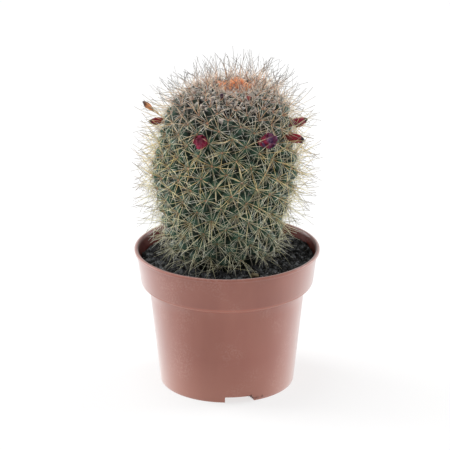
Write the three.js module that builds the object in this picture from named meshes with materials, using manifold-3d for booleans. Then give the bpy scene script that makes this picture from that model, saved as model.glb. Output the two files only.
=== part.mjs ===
// A round pincushion cactus growing in a brown plastic nursery pot.
// Millimetres, +Z up. The origin is on the pot's axis, at the plane of its foot.
import * as THREE from 'three';
import { ConvexHull } from 'three/addons/math/ConvexHull.js';
import { mergeVertices } from 'three/addons/utils/BufferGeometryUtils.js';
import Module from 'manifold-3d';

const wasm = await Module();
wasm.setup();

// Clearance between pieces that touch on the real plant
const GAP = 0.3;

// Pot
const POT_HEIGHT = 91;
const POT_WALL = 1.3;
const POT_SEGMENTS = 48;
const FOOT_RADIUS = 43.6;
const FOOT_BAND_HEIGHT = 7;
const BODY_TOP_RADIUS = 50.3;
const BODY_TOP_HEIGHT = 65;
const BEAD_STAND = 0.6;
const COLLAR_BOTTOM_RADIUS = 56;
const COLLAR_BOTTOM_HEIGHT = 70;
const COLLAR_TOP_RADIUS = 58.4;
const LIP_RADIUS = 60;
const LIP_HEIGHT = 2.2;
const LIP_WIDTH = 2.2;
const FLOOR_UNDERSIDE = 4.2;
const NOTCH_COUNT = 3;
const NOTCH_FIRST = THREE.MathUtils.degToRad(-78);
const NOTCH_ANGLE = THREE.MathUtils.degToRad(28);
const NOTCH_HEIGHT = 3.9;
const DRAIN_HOLE_COUNT = 6;
const DRAIN_HOLE_RADIUS = 4.5;
const DRAIN_RING_RADIUS = 28;

// Soil
const SOIL_LEVEL = 83.4;
const SOIL_SLOPE = 0.032;
const SOIL_RELIEF = 0.7;
const SOIL_TOP_RINGS = 6;

// Stem: the surface through the tips of the tubercles, as (radius, height) from the crown down
const STEM_OUTLINE = [
  [0, 198.2], [6, 198.8], [12, 199.9], [19, 199.8], [27, 196.4], [34, 190.8], [39, 183.5], [42.3, 172.5],
  [44.6, 159], [46.8, 146], [45.9, 136], [43.6, 127], [41.2, 118], [39.6, 109], [37.4, 100], [35, 93.5],
  [31.5, 88], [27, 83], [24, 72],
];
const MERIDIAN_STEPS = 600;
const LOWEST_TUBERCLE = 88;
const STEM_FOOT_X = -3;
const STEM_LEAN = 5.5;
const STEM_LEAN_FROM = 83;
const STEM_LEAN_OVER = 118;
const CROWN_ASIDE = 3.5;
const CROWN_ASIDE_OVER = [9, 36];
const BURIED_TOP_RADIUS = 25;
const BURIED_TOP_HEIGHT = 85.8;
const BURIED_BOTTOM_RADIUS = 18;
const BURIED_BOTTOM_HEIGHT = 66;

// Tubercles: a golden-angle spiral that starts at the rim of the crown's dip
const GOLDEN_ANGLE = -Math.PI * (3 - Math.sqrt(5));
const SPIRAL_START_AZIMUTH = THREE.MathUtils.degToRad(-8);
const CROWN_DIP_RADIUS = 10;
const CROWN_DIP_DEPTH = 1.6;
const FIRST_TUBERCLE_RADIUS = 12.5;
const CROWN_CELL_AREA = 26;
const STEM_CELL_AREA = 127;
const CELL_GROWTH_LENGTH = 34;
const VALLEY_DEPTH = 0.36;
const AREOLE_RADIUS = 0.11;

// Spines: every second one in an areole is a long central, the others lie flatter
const CENTRAL_LENGTH = [12.5, 19];
const CENTRAL_SPREAD = [22, 46];
const RADIAL_LENGTH = [6, 9];
const RADIAL_SPREAD = [58, 72];
const CROWN_SPINE_UPRIGHT = 0.55;
const CROWN_SPINE_LONGER = 0.2;
const CROWN_HEIGHTS = [184, 200];
const SPINE_CLEARANCE = 0.15;
const SPINE_ROOT = 0.58;
const SPINE_TURN = 0.25;
const SPINE_TRIES = 40;
const LAST_TRY_SHORTER = 0.45;
const LONGEST_REACH = 2 * CENTRAL_LENGTH[1];
const SPINE_REACH_X = [-61.6, 63];
const SPINE_REACH_Y = 62.4;
const SPINE_REACH_TOP = 223.5;

// Crown tuft: woolly cushion with orange young spines
const TUFT_RADIUS = 9.3;
const TUFT_RISE = 2.6;
const TUFT_SPINES = 76;
const TUFT_SPINE_LENGTH = [3.2, 5.6];
const TUFT_SPINE_RADIUS = 0.34;
const TUFT_SPREAD = 0.42;

// Withered flowers and young buds: azimuth in degrees from +X, height on the stem, length, width, how
// far the outer part turns aside in degrees, its rise for each millimetre, and how far it has opened
const FLOWERS = [
  [162, 173, 22, 4, 0, 0.85, 0],
  [185, 178, 13, 5, 0, -0.1, 0],
  [-113, 175, 14, 9.2, 22, 1.2, 0.4],
  [-60, 174, 13.5, 8.6, 46, 0.25, 1],
  [-26, 173, 16, 6, 4, -0.1, 0],
  [-8, 177, 14, 6.6, 0, 0.65, 0],
  [36, 175, 13, 5.4, -8, 0.2, 0.3],
  [72, 172, 14, 5.4, 10, 0.3, 0],
  [105, 178, 15, 6, -12, 0.35, 0.6],
  [128, 170, 13, 5, 8, 0.1, 0],
];
const BUDS = [
  [-104, 198.6, 6.5, 3, 0, 0.3, 0],
  [-62.5, 198.4, 6, 3, 0, 0.3, 0],
];
const FLOWER_BEND = 0.35;

// Flower outlines, shut and open, as (share of the length, share of the half width)
const CLOSED_FLOWER = [
  [0, 0], [0.2, 0.42], [0.42, 0.86], [0.6, 1], [0.78, 0.62], [0.9, 0.3], [1, 0.2],
];
const OPEN_FLOWER = [
  [0, 0], [0.2, 0.34], [0.45, 0.6], [0.7, 0.88], [0.92, 1], [0.8, 0.62], [0.68, 0.25],
];
const FLOWER_LIP_RING = 4;
const FLOWER_LIP_NOTCH = 0.12;
const FLOWER_SIDES = 10;
const FLOWER_FOOT_RADIUS = 0.55;
const FLOWER_PLEAT = 0.32;

const UPRIGHT = new THREE.Vector3(0, 0, 1);

const potMaterial = new THREE.MeshStandardMaterial({ color: 0x9c6859, roughness: 0.5, metalness: 0 });
const soilMaterial = new THREE.MeshStandardMaterial({ color: 0x1f1e1c, roughness: 1, metalness: 0 });
const stemMaterial = new THREE.MeshStandardMaterial({ color: 0x55694c, roughness: 0.7, metalness: 0 });
const tuftMaterial = new THREE.MeshStandardMaterial({ color: 0xc46a3a, roughness: 0.8, metalness: 0 });
const flowerMaterial = new THREE.MeshStandardMaterial({ color: 0x8c2140, roughness: 0.8, metalness: 0 });
const budMaterial = new THREE.MeshStandardMaterial({ color: 0x6b2a45, roughness: 0.8, metalness: 0 });

// Repeatable random numbers between 0 and 1
function randomStream(seed) {
  let state = seed;
  return () => {
    state = (state + 0x6d2b79f5) | 0;
    let mixed = Math.imul(state ^ (state >>> 15), 1 | state);
    mixed = (mixed + Math.imul(mixed ^ (mixed >>> 7), 61 | mixed)) ^ mixed;
    return ((mixed ^ (mixed >>> 14)) >>> 0) / 4294967296;
  };
}

const between = (random, [low, high]) => low + (high - low) * random();

function geometryFrom(positions, faces) {
  const geometry = new THREE.BufferGeometry();
  const flat = positions.flatMap((point) => [point.x, point.y, point.z]);
  geometry.setAttribute('position', new THREE.Float32BufferAttribute(flat, 3));
  geometry.setIndex(faces.flat());
  return geometry;
}

// A closed geometry as a solid that can be joined and cut
function toSolid(geometry) {
  const bare = geometry.clone();
  bare.deleteAttribute('normal');
  bare.deleteAttribute('uv');
  const merged = mergeVertices(bare, 1e-3);
  const index = Array.from(merged.index.array);
  const triVerts = [];
  for (let i = 0; i < index.length; i += 3) {
    const [a, b, c] = index.slice(i, i + 3);
    if (a !== b && b !== c && c !== a) triVerts.push(a, b, c);
  }
  return new wasm.Manifold(new wasm.Mesh({
    numProp: 3,
    vertProperties: new Float32Array(merged.attributes.position.array),
    triVerts: new Uint32Array(triVerts),
  }));
}

function fromSolid(solid) {
  const mesh = solid.getMesh();
  const geometry = new THREE.BufferGeometry();
  geometry.setAttribute('position', new THREE.BufferAttribute(new Float32Array(mesh.vertProperties), 3));
  geometry.setIndex(new THREE.BufferAttribute(new Uint32Array(mesh.triVerts), 1));
  return geometry;
}

// A profile of (radius, height) points turned about the pot's axis
function turned(profile, segments) {
  const points = profile.map(([radius, height]) => new THREE.Vector2(radius, height));
  return new THREE.LatheGeometry(points, segments).rotateX(Math.PI / 2);
}

function cylinderAt(x, y, bottom, top, radius, segments) {
  const geometry = new THREE.CylinderGeometry(radius, radius, top - bottom, segments);
  return toSolid(geometry.rotateX(Math.PI / 2).translate(x, y, (top + bottom) / 2));
}

// Radius of the pot's outer wall below the collar
function bodyRadius(height) {
  return FOOT_RADIUS + (BODY_TOP_RADIUS - FOOT_RADIUS) * (height / BODY_TOP_HEIGHT);
}

// The inner side of the pot, as (radius, height) from the floor up
function potInside() {
  const floor = FLOOR_UNDERSIDE + POT_WALL;
  const stepHeight = BODY_TOP_HEIGHT + POT_WALL + 0.4;
  return [
    [bodyRadius(floor) - POT_WALL, floor],
    [BODY_TOP_RADIUS - POT_WALL, stepHeight],
    [COLLAR_BOTTOM_RADIUS - POT_WALL - 1.6, stepHeight + 1.2],
    [COLLAR_BOTTOM_RADIUS - POT_WALL, COLLAR_BOTTOM_HEIGHT + POT_WALL],
    [COLLAR_TOP_RADIUS - POT_WALL, POT_HEIGHT - LIP_HEIGHT],
  ];
}

function potGeometry() {
  const footInner = FOOT_RADIUS - POT_WALL;
  const beadHeight = BODY_TOP_HEIGHT + 0.9;
  const lipBottom = POT_HEIGHT - LIP_HEIGHT;
  const outside = [
    [footInner, FLOOR_UNDERSIDE], [footInner, 0], [FOOT_RADIUS - 0.4, 0], [FOOT_RADIUS, 0.5],
    [bodyRadius(FOOT_BAND_HEIGHT) - 0.3, FOOT_BAND_HEIGHT - 0.4],
    [bodyRadius(FOOT_BAND_HEIGHT), FOOT_BAND_HEIGHT],
    [BODY_TOP_RADIUS, BODY_TOP_HEIGHT], [BODY_TOP_RADIUS + BEAD_STAND, BODY_TOP_HEIGHT + 0.2],
    [BODY_TOP_RADIUS + BEAD_STAND, beadHeight],
  ];
  const shoulderDrop = COLLAR_BOTTOM_HEIGHT - beadHeight - 0.3;
  const shoulderWidth = COLLAR_BOTTOM_RADIUS - BODY_TOP_RADIUS - BEAD_STAND - 0.4;
  for (let step = 0; step <= 3; step += 1) {
    const angle = (step / 3) * (Math.PI / 2);
    outside.push([
      COLLAR_BOTTOM_RADIUS - shoulderWidth * (1 - Math.sin(angle)),
      COLLAR_BOTTOM_HEIGHT - shoulderDrop * Math.cos(angle),
    ]);
  }
  const lip = [
    [COLLAR_TOP_RADIUS, lipBottom], [LIP_RADIUS - 0.4, lipBottom + 0.1], [LIP_RADIUS, lipBottom + 0.6],
    [LIP_RADIUS, POT_HEIGHT - 0.5], [LIP_RADIUS - 0.5, POT_HEIGHT],
    [LIP_RADIUS - LIP_WIDTH + 0.4, POT_HEIGHT], [LIP_RADIUS - LIP_WIDTH, POT_HEIGHT - 0.5],
  ];
  const inside = potInside().reverse();
  const floor = FLOOR_UNDERSIDE + POT_WALL;
  const profile = [[0, FLOOR_UNDERSIDE], ...outside, ...lip, ...inside, [0, floor]];
  let pot = toSolid(turned(profile, POT_SEGMENTS));
  for (let i = 0; i < NOTCH_COUNT; i += 1) {
    pot = pot.subtract(notchCutter(NOTCH_FIRST + (i * 2 * Math.PI) / NOTCH_COUNT));
  }
  for (let i = 0; i <= DRAIN_HOLE_COUNT; i += 1) {
    const angle = (i * 2 * Math.PI) / DRAIN_HOLE_COUNT;
    const ring = i < DRAIN_HOLE_COUNT ? DRAIN_RING_RADIUS : 0;
    const [x, y] = [ring * Math.cos(angle), ring * Math.sin(angle)];
    pot = pot.subtract(cylinderAt(x, y, FLOOR_UNDERSIDE - 1, floor + 1, DRAIN_HOLE_RADIUS, 12));
  }
  return fromSolid(pot);
}

// A block that cuts one gap in the foot ring, from below
function notchCutter(azimuth) {
  const [near, far] = [FOOT_RADIUS - 6, FOOT_RADIUS + 6];
  const halfTop = (near * NOTCH_ANGLE) / 2;
  const shape = new THREE.Shape();
  const spread = far / near;
  shape.moveTo(near, -halfTop);
  shape.lineTo(far, -halfTop * spread);
  shape.lineTo(far, halfTop * spread);
  shape.lineTo(near, halfTop);
  shape.closePath();
  const block = new THREE.ExtrudeGeometry(shape, { depth: NOTCH_HEIGHT + 2, bevelEnabled: false });
  return toSolid(block.translate(0, 0, -2).rotateZ(azimuth));
}

// How far the stem's centre line stands from the pot's axis at a height
function stemCentre(height) {
  const climb = Math.max(0, height - STEM_LEAN_FROM) / STEM_LEAN_OVER;
  return STEM_FOOT_X + STEM_LEAN * climb * climb;
}

// How far the growing point, and the rows round it, stand aside of the centre line
function crownAside(length) {
  return CROWN_ASIDE * (1 - THREE.MathUtils.smoothstep(length, ...CROWN_ASIDE_OVER));
}

// Uneven, crumbly surface of the peat
function soilHeight(x, y) {
  const lumps = Math.sin(x * 0.83 + 1.7 * Math.sin(y * 0.31)) * Math.cos(y * 0.71 - x * 0.19);
  const grain = Math.sin(x * 1.93 - y * 1.37) * Math.sin(y * 2.11 + x * 0.57);
  return SOIL_LEVEL + SOIL_SLOPE * x + SOIL_RELIEF * (0.6 * lumps + 0.4 * grain);
}

function soilGeometry() {
  const points = [];
  const faces = [];
  const holeScale = 1 / Math.cos(Math.PI / POT_SEGMENTS);
  const holeTop = (BURIED_TOP_RADIUS + GAP) * holeScale;
  const holeBottom = (BURIED_BOTTOM_RADIUS + GAP) * holeScale;
  const inside = potInside().filter(([, height]) => height < SOIL_LEVEL - 2);
  const [lowRadius, lowHeight] = potInside().at(-2);
  const [highRadius, highHeight] = potInside().at(-1);
  const rise = (SOIL_LEVEL - lowHeight) / (highHeight - lowHeight);
  const topRadius = lowRadius + (highRadius - lowRadius) * rise - GAP;
  const rings = inside.map(([radius, height], i) => [radius - GAP, height + (i === 0 ? GAP : 0), 0]);
  for (let i = 0; i <= SOIL_TOP_RINGS; i += 1) {
    const inward = i / SOIL_TOP_RINGS;
    rings.push([topRadius + (holeTop - topRadius) * inward, null, STEM_FOOT_X * inward]);
  }
  rings.push([holeBottom, BURIED_BOTTOM_HEIGHT - GAP, STEM_FOOT_X]);
  for (const [radius, height, shift] of rings) {
    for (let k = 0; k < POT_SEGMENTS; k += 1) {
      const angle = (k * 2 * Math.PI) / POT_SEGMENTS - Math.PI / 2;
      const [x, y] = [shift + radius * Math.cos(angle), radius * Math.sin(angle)];
      points.push(new THREE.Vector3(x, y, height ?? soilHeight(x, y)));
    }
  }
  for (let ring = 0; ring + 1 < rings.length; ring += 1) {
    for (let k = 0; k < POT_SEGMENTS; k += 1) {
      const a = ring * POT_SEGMENTS + k;
      const b = ring * POT_SEGMENTS + ((k + 1) % POT_SEGMENTS);
      faces.push([a, b, b + POT_SEGMENTS], [a, b + POT_SEGMENTS, a + POT_SEGMENTS]);
    }
  }
  const bottom = points.push(new THREE.Vector3(0, 0, rings[0][1])) - 1;
  const holeFloor = points.push(new THREE.Vector3(STEM_FOOT_X, 0, BURIED_BOTTOM_HEIGHT - GAP)) - 1;
  const last = (rings.length - 1) * POT_SEGMENTS;
  for (let k = 0; k < POT_SEGMENTS; k += 1) {
    const next = (k + 1) % POT_SEGMENTS;
    faces.push([bottom, next, k], [holeFloor, last + k, last + next]);
  }
  return geometryFrom(points, faces);
}

// The stem's outline as a smooth curve, with its length and its spread on a sphere tabled along it
function stemMeridian() {
  const outline = STEM_OUTLINE.map(([radius, height]) => new THREE.Vector2(radius, height));
  const curve = new THREE.SplineCurve(outline);
  const samples = curve.getPoints(MERIDIAN_STEPS);
  const table = [{ radius: samples[0].x, height: samples[0].y, length: 0, spread: 0 }];
  for (let i = 1; i < samples.length; i += 1) {
    const step = samples[i].distanceTo(samples[i - 1]);
    const previous = table[i - 1];
    const middle = Math.max(1, (samples[i].x + samples[i - 1].x) / 2);
    table.push({
      radius: samples[i].x,
      height: samples[i].y,
      length: previous.length + step,
      spread: previous.spread + step / middle,
    });
  }
  return table;
}

function cellArea(length) {
  const past = Math.max(0, length - FIRST_TUBERCLE_RADIUS) / CELL_GROWTH_LENGTH;
  const growth = 1 - Math.exp(-Math.pow(past, 1.5));
  return CROWN_CELL_AREA + (STEM_CELL_AREA - CROWN_CELL_AREA) * growth;
}

// The stem's radius at a height, below the rim of the crown
function stemRadius(table, height) {
  return table.findLast((entry) => entry.height >= height).radius;
}

// The place and outward direction of each tubercle's tip, from the crown down
function tubercles(table) {
  const middle = table.at(-1).spread / 2;
  const list = [];
  let count = 0.5;
  for (let i = 1; i < table.length; i += 1) {
    const [last, here] = [table[i - 1], table[i]];
    const step = here.length - last.length;
    if (here.length < FIRST_TUBERCLE_RADIUS) continue;
    count += (2 * Math.PI * here.radius * step) / cellArea(here.length);
    if (count < 1) continue;
    count -= 1;
    const azimuth = SPIRAL_START_AZIMUTH + list.length * GOLDEN_ANGLE;
    const [cos, sin] = [Math.cos(azimuth), Math.sin(azimuth)];
    const slope = new THREE.Vector2(here.radius - last.radius, here.height - last.height).normalize();
    const colatitude = 2 * Math.atan(Math.exp(here.spread - middle));
    const centre = stemCentre(here.height) + crownAside(here.length);
    list.push({
      tip: new THREE.Vector3(centre + here.radius * cos, here.radius * sin, here.height),
      normal: new THREE.Vector3(-slope.y * cos, -slope.y * sin, slope.x).normalize(),
      cell: Math.sqrt(cellArea(here.length)),
      onSphere: new THREE.Vector3(
        Math.sin(colatitude) * cos,
        Math.sin(colatitude) * sin,
        Math.cos(colatitude),
      ),
    });
  }
  return list;
}

// Triangles of neighbouring tubercles, found on a sphere; the two poles stand for the crown and the foot
function neighbourTriangles(list) {
  const poles = [new THREE.Vector3(0, 0, 1), new THREE.Vector3(0, 0, -1)];
  const points = [...list.map((tubercle) => tubercle.onSphere), ...poles];
  const order = new Map(points.map((point, i) => [point, i]));
  const hull = new ConvexHull().setFromPoints(points);
  return hull.faces.map((face) => {
    const corners = [];
    let edge = face.edge;
    do {
      corners.push(order.get(edge.head().point));
      edge = edge.next;
    } while (edge !== face.edge);
    return corners;
  });
}

// The triangles round one corner, in order, anticlockwise from outside, each with the neighbour after it
function trianglesRound(corner, triangles) {
  const following = new Map();
  triangles.forEach((corners, id) => {
    const turn = corners.indexOf(corner);
    if (turn >= 0) following.set(corners[(turn + 1) % 3], [id, corners[(turn + 2) % 3]]);
  });
  const first = following.keys().next().value;
  const ring = [];
  let at = first;
  do {
    const [id, next] = following.get(at);
    ring.push({ id, neighbour: next });
    at = next;
  } while (at !== first);
  return ring;
}

// Nearest approach of two segments: distance, and how far along each it lies
function segmentApproach(p1, q1, p2, q2) {
  const d1 = q1.clone().sub(p1);
  const d2 = q2.clone().sub(p2);
  const r = p1.clone().sub(p2);
  const [a, e, f, c, b] = [d1.dot(d1), d2.dot(d2), d2.dot(r), d1.dot(r), d1.dot(d2)];
  const denominator = a * e - b * b;
  let s = denominator > 1e-9 ? THREE.MathUtils.clamp((b * f - c * e) / denominator, 0, 1) : 0;
  let t = (b * s + f) / e;
  if (t < 0 || t > 1) {
    t = THREE.MathUtils.clamp(t, 0, 1);
    s = THREE.MathUtils.clamp((b * t - c) / a, 0, 1);
  }
  const distance = d1.multiplyScalar(s).add(p1).distanceTo(d2.multiplyScalar(t).add(p2));
  return [distance, s, t];
}

// Whether a spine keeps clear of the soil, the pot's rim, the flowers, the stem and the other spines
function spineIsClear(spine, owner, placed, stem, blooms) {
  const { root, tip, thickness } = spine;
  if (tip.x < SPINE_REACH_X[0] || tip.x > SPINE_REACH_X[1]) return false;
  if (Math.abs(tip.y) > SPINE_REACH_Y || tip.z > SPINE_REACH_TOP) return false;
  if (tip.z < SOIL_LEVEL + SOIL_SLOPE * tip.x + SOIL_RELIEF + 2 * GAP) return false;
  const rimClear = COLLAR_TOP_RADIUS - POT_WALL - 3 * GAP;
  if (tip.z < POT_HEIGHT + 3 * GAP && Math.hypot(tip.x, tip.y) > rimClear) return false;
  for (const { width, legs } of blooms) {
    for (const [from, to] of legs) {
      const [distance, s] = segmentApproach(root, tip, from, to);
      if (distance < width / 2 + thickness * (1 - s) + 2 * GAP) return false;
    }
  }
  for (const { tip: areole, normal, cell } of stem) {
    if (areole === owner.tip || areole.distanceTo(tip) > LONGEST_REACH) continue;
    const base = areole.clone().addScaledVector(normal, -cell / 3);
    const [distance, s] = segmentApproach(root, tip, areole, base);
    if (distance < 2 * AREOLE_RADIUS * cell + thickness * (1 - s)) return false;
  }
  for (const other of placed) {
    if (other.owner === owner || other.tip.distanceTo(tip) > LONGEST_REACH) continue;
    const [distance, s, t] = segmentApproach(root, tip, other.root, other.tip);
    if (distance < thickness * (1 - s) + other.thickness * (1 - t) + SPINE_CLEARANCE) return false;
  }
  return true;
}

// One spine drawn out of a facet of an areole, or nothing where no free way is found
function drawSpine(facet, owner, central, random, placed, stem, blooms) {
  const root = facet[0].clone().add(facet[1]).add(facet[2]).divideScalar(3);
  const thickness = facet[1].distanceTo(facet[2]) * SPINE_ROOT;
  const outward = root.clone().sub(owner.tip).projectOnPlane(owner.normal).normalize();
  const sideways = owner.normal.clone().cross(outward);
  const crown = THREE.MathUtils.smoothstep(owner.tip.z, ...CROWN_HEIGHTS);
  for (let attempt = 0; attempt < SPINE_TRIES; attempt += 1) {
    const tired = attempt / SPINE_TRIES;
    const spread = THREE.MathUtils.degToRad(between(random, central ? CENTRAL_SPREAD : RADIAL_SPREAD));
    const fit = (1 - LAST_TRY_SHORTER * tired * tired) * (1 + CROWN_SPINE_LONGER * crown);
    const length = between(random, central ? CENTRAL_LENGTH : RADIAL_LENGTH) * fit;
    const turn = (2 * random() - 1) * SPINE_TURN * (1 + tired);
    const lean = spread * (1 - CROWN_SPINE_UPRIGHT * crown);
    const direction = owner.normal.clone().multiplyScalar(Math.cos(lean));
    direction.addScaledVector(outward, Math.sin(lean) * Math.cos(turn));
    direction.addScaledVector(sideways, Math.sin(lean) * Math.sin(turn));
    const tip = root.clone().addScaledVector(direction.normalize(), length);
    const spine = { root, tip, thickness, owner };
    if (spineIsClear(spine, owner, placed, stem, blooms)) return spine;
  }
  return null;
}

// The whole plant: foot, tubercles in their spiral rows and the spines drawn out of every areole
function cactusGeometry({ stem, grown, triangles, valleys }, blooms) {
  const random = randomStream(20731);
  const points = [...valleys];
  const faces = [];
  const placed = [];
  const lowerEdge = new Map();
  grown.forEach((tubercle, corner) => {
    const ring = trianglesRound(corner, triangles);
    const top = points.push(tubercle.tip.clone()) - 1;
    const areole = ring.map(({ id }) => {
      const way = valleys[id].clone().sub(tubercle.tip).projectOnPlane(tubercle.normal).normalize();
      const point = tubercle.tip.clone().addScaledVector(way, AREOLE_RADIUS * tubercle.cell);
      return points.push(point.addScaledVector(tubercle.normal, -0.02 * tubercle.cell)) - 1;
    });
    ring.forEach(({ id, neighbour }, k) => {
      const next = (k + 1) % ring.length;
      faces.push([id, ring[next].id, areole[next]], [id, areole[next], areole[k]]);
      if (neighbour >= grown.length && neighbour !== stem.length) lowerEdge.set(id, ring[next].id);
      const corners = [top, areole[k], areole[next]];
      const facet = corners.map((vertex) => points[vertex]);
      const spine = drawSpine(facet, tubercle, k % 2 === 0, random, placed, grown, blooms);
      if (spine === null) {
        faces.push(corners);
        return;
      }
      placed.push(spine);
      const end = points.push(spine.tip) - 1;
      faces.push([corners[0], corners[1], end], [corners[1], corners[2], end]);
      faces.push([corners[2], corners[0], end]);
    });
  });
  const crownRing = trianglesRound(stem.length, triangles);
  const dip = points.push(crownDip()) - 1;
  crownRing.forEach(({ id }, k) => faces.push([dip, id, crownRing[(k + 1) % crownRing.length].id]));
  buryFoot(points, faces, lowerEdge);
  return weldedGeometry(points, faces);
}

// The plain foot of the stem, from the lower edge of the last tubercles down into the soil
function buryFoot(points, faces, lowerEdge) {
  const first = lowerEdge.keys().next().value;
  const ring = [first];
  for (let at = lowerEdge.get(first); at !== first; at = lowerEdge.get(at)) ring.push(at);
  const centre = points.push(new THREE.Vector3(STEM_FOOT_X, 0, BURIED_BOTTOM_HEIGHT)) - 1;
  const start = Math.atan2(points[first].y, points[first].x - STEM_FOOT_X);
  const levels = [[BURIED_TOP_RADIUS, BURIED_TOP_HEIGHT], [BURIED_BOTTOM_RADIUS, BURIED_BOTTOM_HEIGHT]];
  const [neck, bottom] = levels.map(([radius, height]) => ring.map((id, k) => {
    const angle = start + (k * 2 * Math.PI) / ring.length;
    return new THREE.Vector3(STEM_FOOT_X + radius * Math.cos(angle), radius * Math.sin(angle), height);
  }));
  ring.forEach((id, k) => points[id].copy(neck[k]));
  const buried = bottom.map((point) => points.push(point) - 1);
  ring.forEach((id, k) => {
    const next = (k + 1) % ring.length;
    faces.push([ring[next], id, buried[k]], [ring[next], buried[k], buried[next]]);
    faces.push([centre, buried[next], buried[k]]);
  });
}

// Only the points that a face uses, each once
function weldedGeometry(points, faces) {
  return mergeVertices(geometryFrom(points, faces).toNonIndexed(), 1e-4);
}

function crownDip() {
  const height = STEM_OUTLINE[0][1] - 2 * CROWN_DIP_DEPTH;
  return new THREE.Vector3(stemCentre(height) + CROWN_ASIDE, 0, height);
}

// The lowest point between each three neighbouring tubercles
function valleyPoints(stem, triangles) {
  return triangles.map((corners) => {
    const tops = corners.filter((corner) => corner < stem.length).map((corner) => stem[corner]);
    const middle = new THREE.Vector3();
    const inward = new THREE.Vector3();
    tops.forEach(({ tip, normal, cell }) => {
      middle.addScaledVector(tip, 1 / tops.length);
      inward.addScaledVector(normal, (-VALLEY_DEPTH * cell) / tops.length);
    });
    const valley = middle.add(inward);
    if (corners.includes(stem.length)) {
      const dip = crownDip();
      const around = Math.atan2(valley.y, valley.x - dip.x);
      const [x, y] = [CROWN_DIP_RADIUS * Math.cos(around), CROWN_DIP_RADIUS * Math.sin(around)];
      return new THREE.Vector3(dip.x + x, y, dip.z + CROWN_DIP_DEPTH);
    }
    return valley;
  });
}

// A flower sits in the valley nearest to its azimuth and height, leaves it squarely and then bends
function bloomSeats(list, table, valleys) {
  return list.map(([degrees, height, length, width, aside, rise, mouth]) => {
    const azimuth = THREE.MathUtils.degToRad(degrees);
    const radius = stemRadius(table, height);
    const wanted = new THREE.Vector3(
      stemCentre(height) + radius * Math.cos(azimuth),
      radius * Math.sin(azimuth),
      height,
    );
    const nearest = (best, valley) => (valley.distanceTo(wanted) < best.distanceTo(wanted) ? valley : best);
    const seat = valleys.reduce(nearest);
    const radial = new THREE.Vector3(seat.x - stemCentre(seat.z), seat.y, 0).normalize();
    const slope = (stemRadius(table, height - 1) - stemRadius(table, height + 1)) / 2;
    const square = radial.clone().setZ(slope).normalize();
    const onward = radial.clone().applyAxisAngle(UPRIGHT, THREE.MathUtils.degToRad(aside));
    onward.setZ(rise).normalize();
    const root = seat.clone().addScaledVector(square, 3 * GAP);
    const bend = root.clone().addScaledVector(square, FLOWER_BEND * length);
    const tip = bend.clone().addScaledVector(onward, (1 - FLOWER_BEND) * length);
    const axis = new THREE.QuadraticBezierCurve3(root, bend, tip);
    const middle = axis.getPointAt(0.5);
    return { axis, legs: [[root, middle], [middle, tip]], width, mouth };
  });
}

// Pleated, shrivelled flower: thin at its foot, full in the middle, drawn in or open at the end
function bloomGeometry({ axis, width, mouth }) {
  const points = [];
  const faces = [];
  const blend = (shut, wide) => shut + (wide - shut) * mouth;
  const rings = CLOSED_FLOWER.map(([along, radius], i) => {
    const [openAlong, openRadius] = OPEN_FLOWER[i];
    return [blend(along, openAlong), blend(radius, openRadius)];
  });
  rings.forEach(([along, radius], ring) => {
    const direction = axis.getTangentAt(along);
    const sideways = UPRIGHT.clone().cross(direction).normalize();
    const upward = direction.clone().cross(sideways);
    for (let k = 0; k < FLOWER_SIDES; k += 1) {
      const angle = (k * 2 * Math.PI) / FLOWER_SIDES;
      const pleat = 1 - (k % 2) * FLOWER_PLEAT;
      const reach = ring > 0 ? (width / 2) * radius * pleat : FLOWER_FOOT_RADIUS;
      const notch = ring === FLOWER_LIP_RING ? mouth * FLOWER_LIP_NOTCH * (k % 2) : 0;
      const point = axis.getPointAt(along - notch).addScaledVector(sideways, reach * Math.cos(angle));
      points.push(point.addScaledVector(upward, reach * Math.sin(angle)));
    }
  });
  for (let ring = 0; ring + 1 < rings.length; ring += 1) {
    for (let k = 0; k < FLOWER_SIDES; k += 1) {
      const a = ring * FLOWER_SIDES + k;
      const b = ring * FLOWER_SIDES + ((k + 1) % FLOWER_SIDES);
      faces.push([a, b, b + FLOWER_SIDES], [a, b + FLOWER_SIDES, a + FLOWER_SIDES]);
    }
  }
  const foot = points.push(axis.getPointAt(0)) - 1;
  const end = points.push(axis.getPointAt(rings.at(-1)[0])) - 1;
  const last = (rings.length - 1) * FLOWER_SIDES;
  for (let k = 0; k < FLOWER_SIDES; k += 1) {
    const next = (k + 1) % FLOWER_SIDES;
    faces.push([foot, next, k], [end, last + k, last + next]);
  }
  return geometryFrom(points, faces);
}

// The cushion in the crown's dip, with a brush of upright young spines
function tuftGeometry() {
  const random = randomStream(4409);
  const dip = crownDip();
  const rim = dip.z + CROWN_DIP_DEPTH;
  const cushion = turned([
    [0, dip.z + 2 * GAP], [TUFT_RADIUS - 0.4, rim + 2 * GAP - 0.1], [TUFT_RADIUS, rim + 1.2],
    [TUFT_RADIUS * 0.8, rim + TUFT_RISE * 0.75], [TUFT_RADIUS * 0.4, rim + TUFT_RISE],
    [0, rim + TUFT_RISE * 1.05],
  ], 18).translate(dip.x, 0, 0);
  const parts = [toSolid(cushion)];
  for (let i = 0; i < TUFT_SPINES; i += 1) {
    const ring = 0.85 * TUFT_RADIUS * Math.sqrt((i + 0.6) / TUFT_SPINES);
    const azimuth = i * GOLDEN_ANGLE;
    const length = between(random, TUFT_SPINE_LENGTH);
    const tilt = TUFT_SPREAD * (0.3 + ring / TUFT_RADIUS + 0.4 * (random() - 0.5));
    const spine = new THREE.ConeGeometry(TUFT_SPINE_RADIUS, length, 3).translate(0, length / 2, 0);
    spine.rotateX(Math.PI / 2).rotateZ(random() * Math.PI).rotateY(tilt).rotateZ(azimuth);
    spine.translate(dip.x + ring * Math.cos(azimuth), ring * Math.sin(azimuth), rim + TUFT_RISE * 0.35);
    parts.push(toSolid(spine));
  }
  return fromSolid(wasm.Manifold.union(parts));
}

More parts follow.
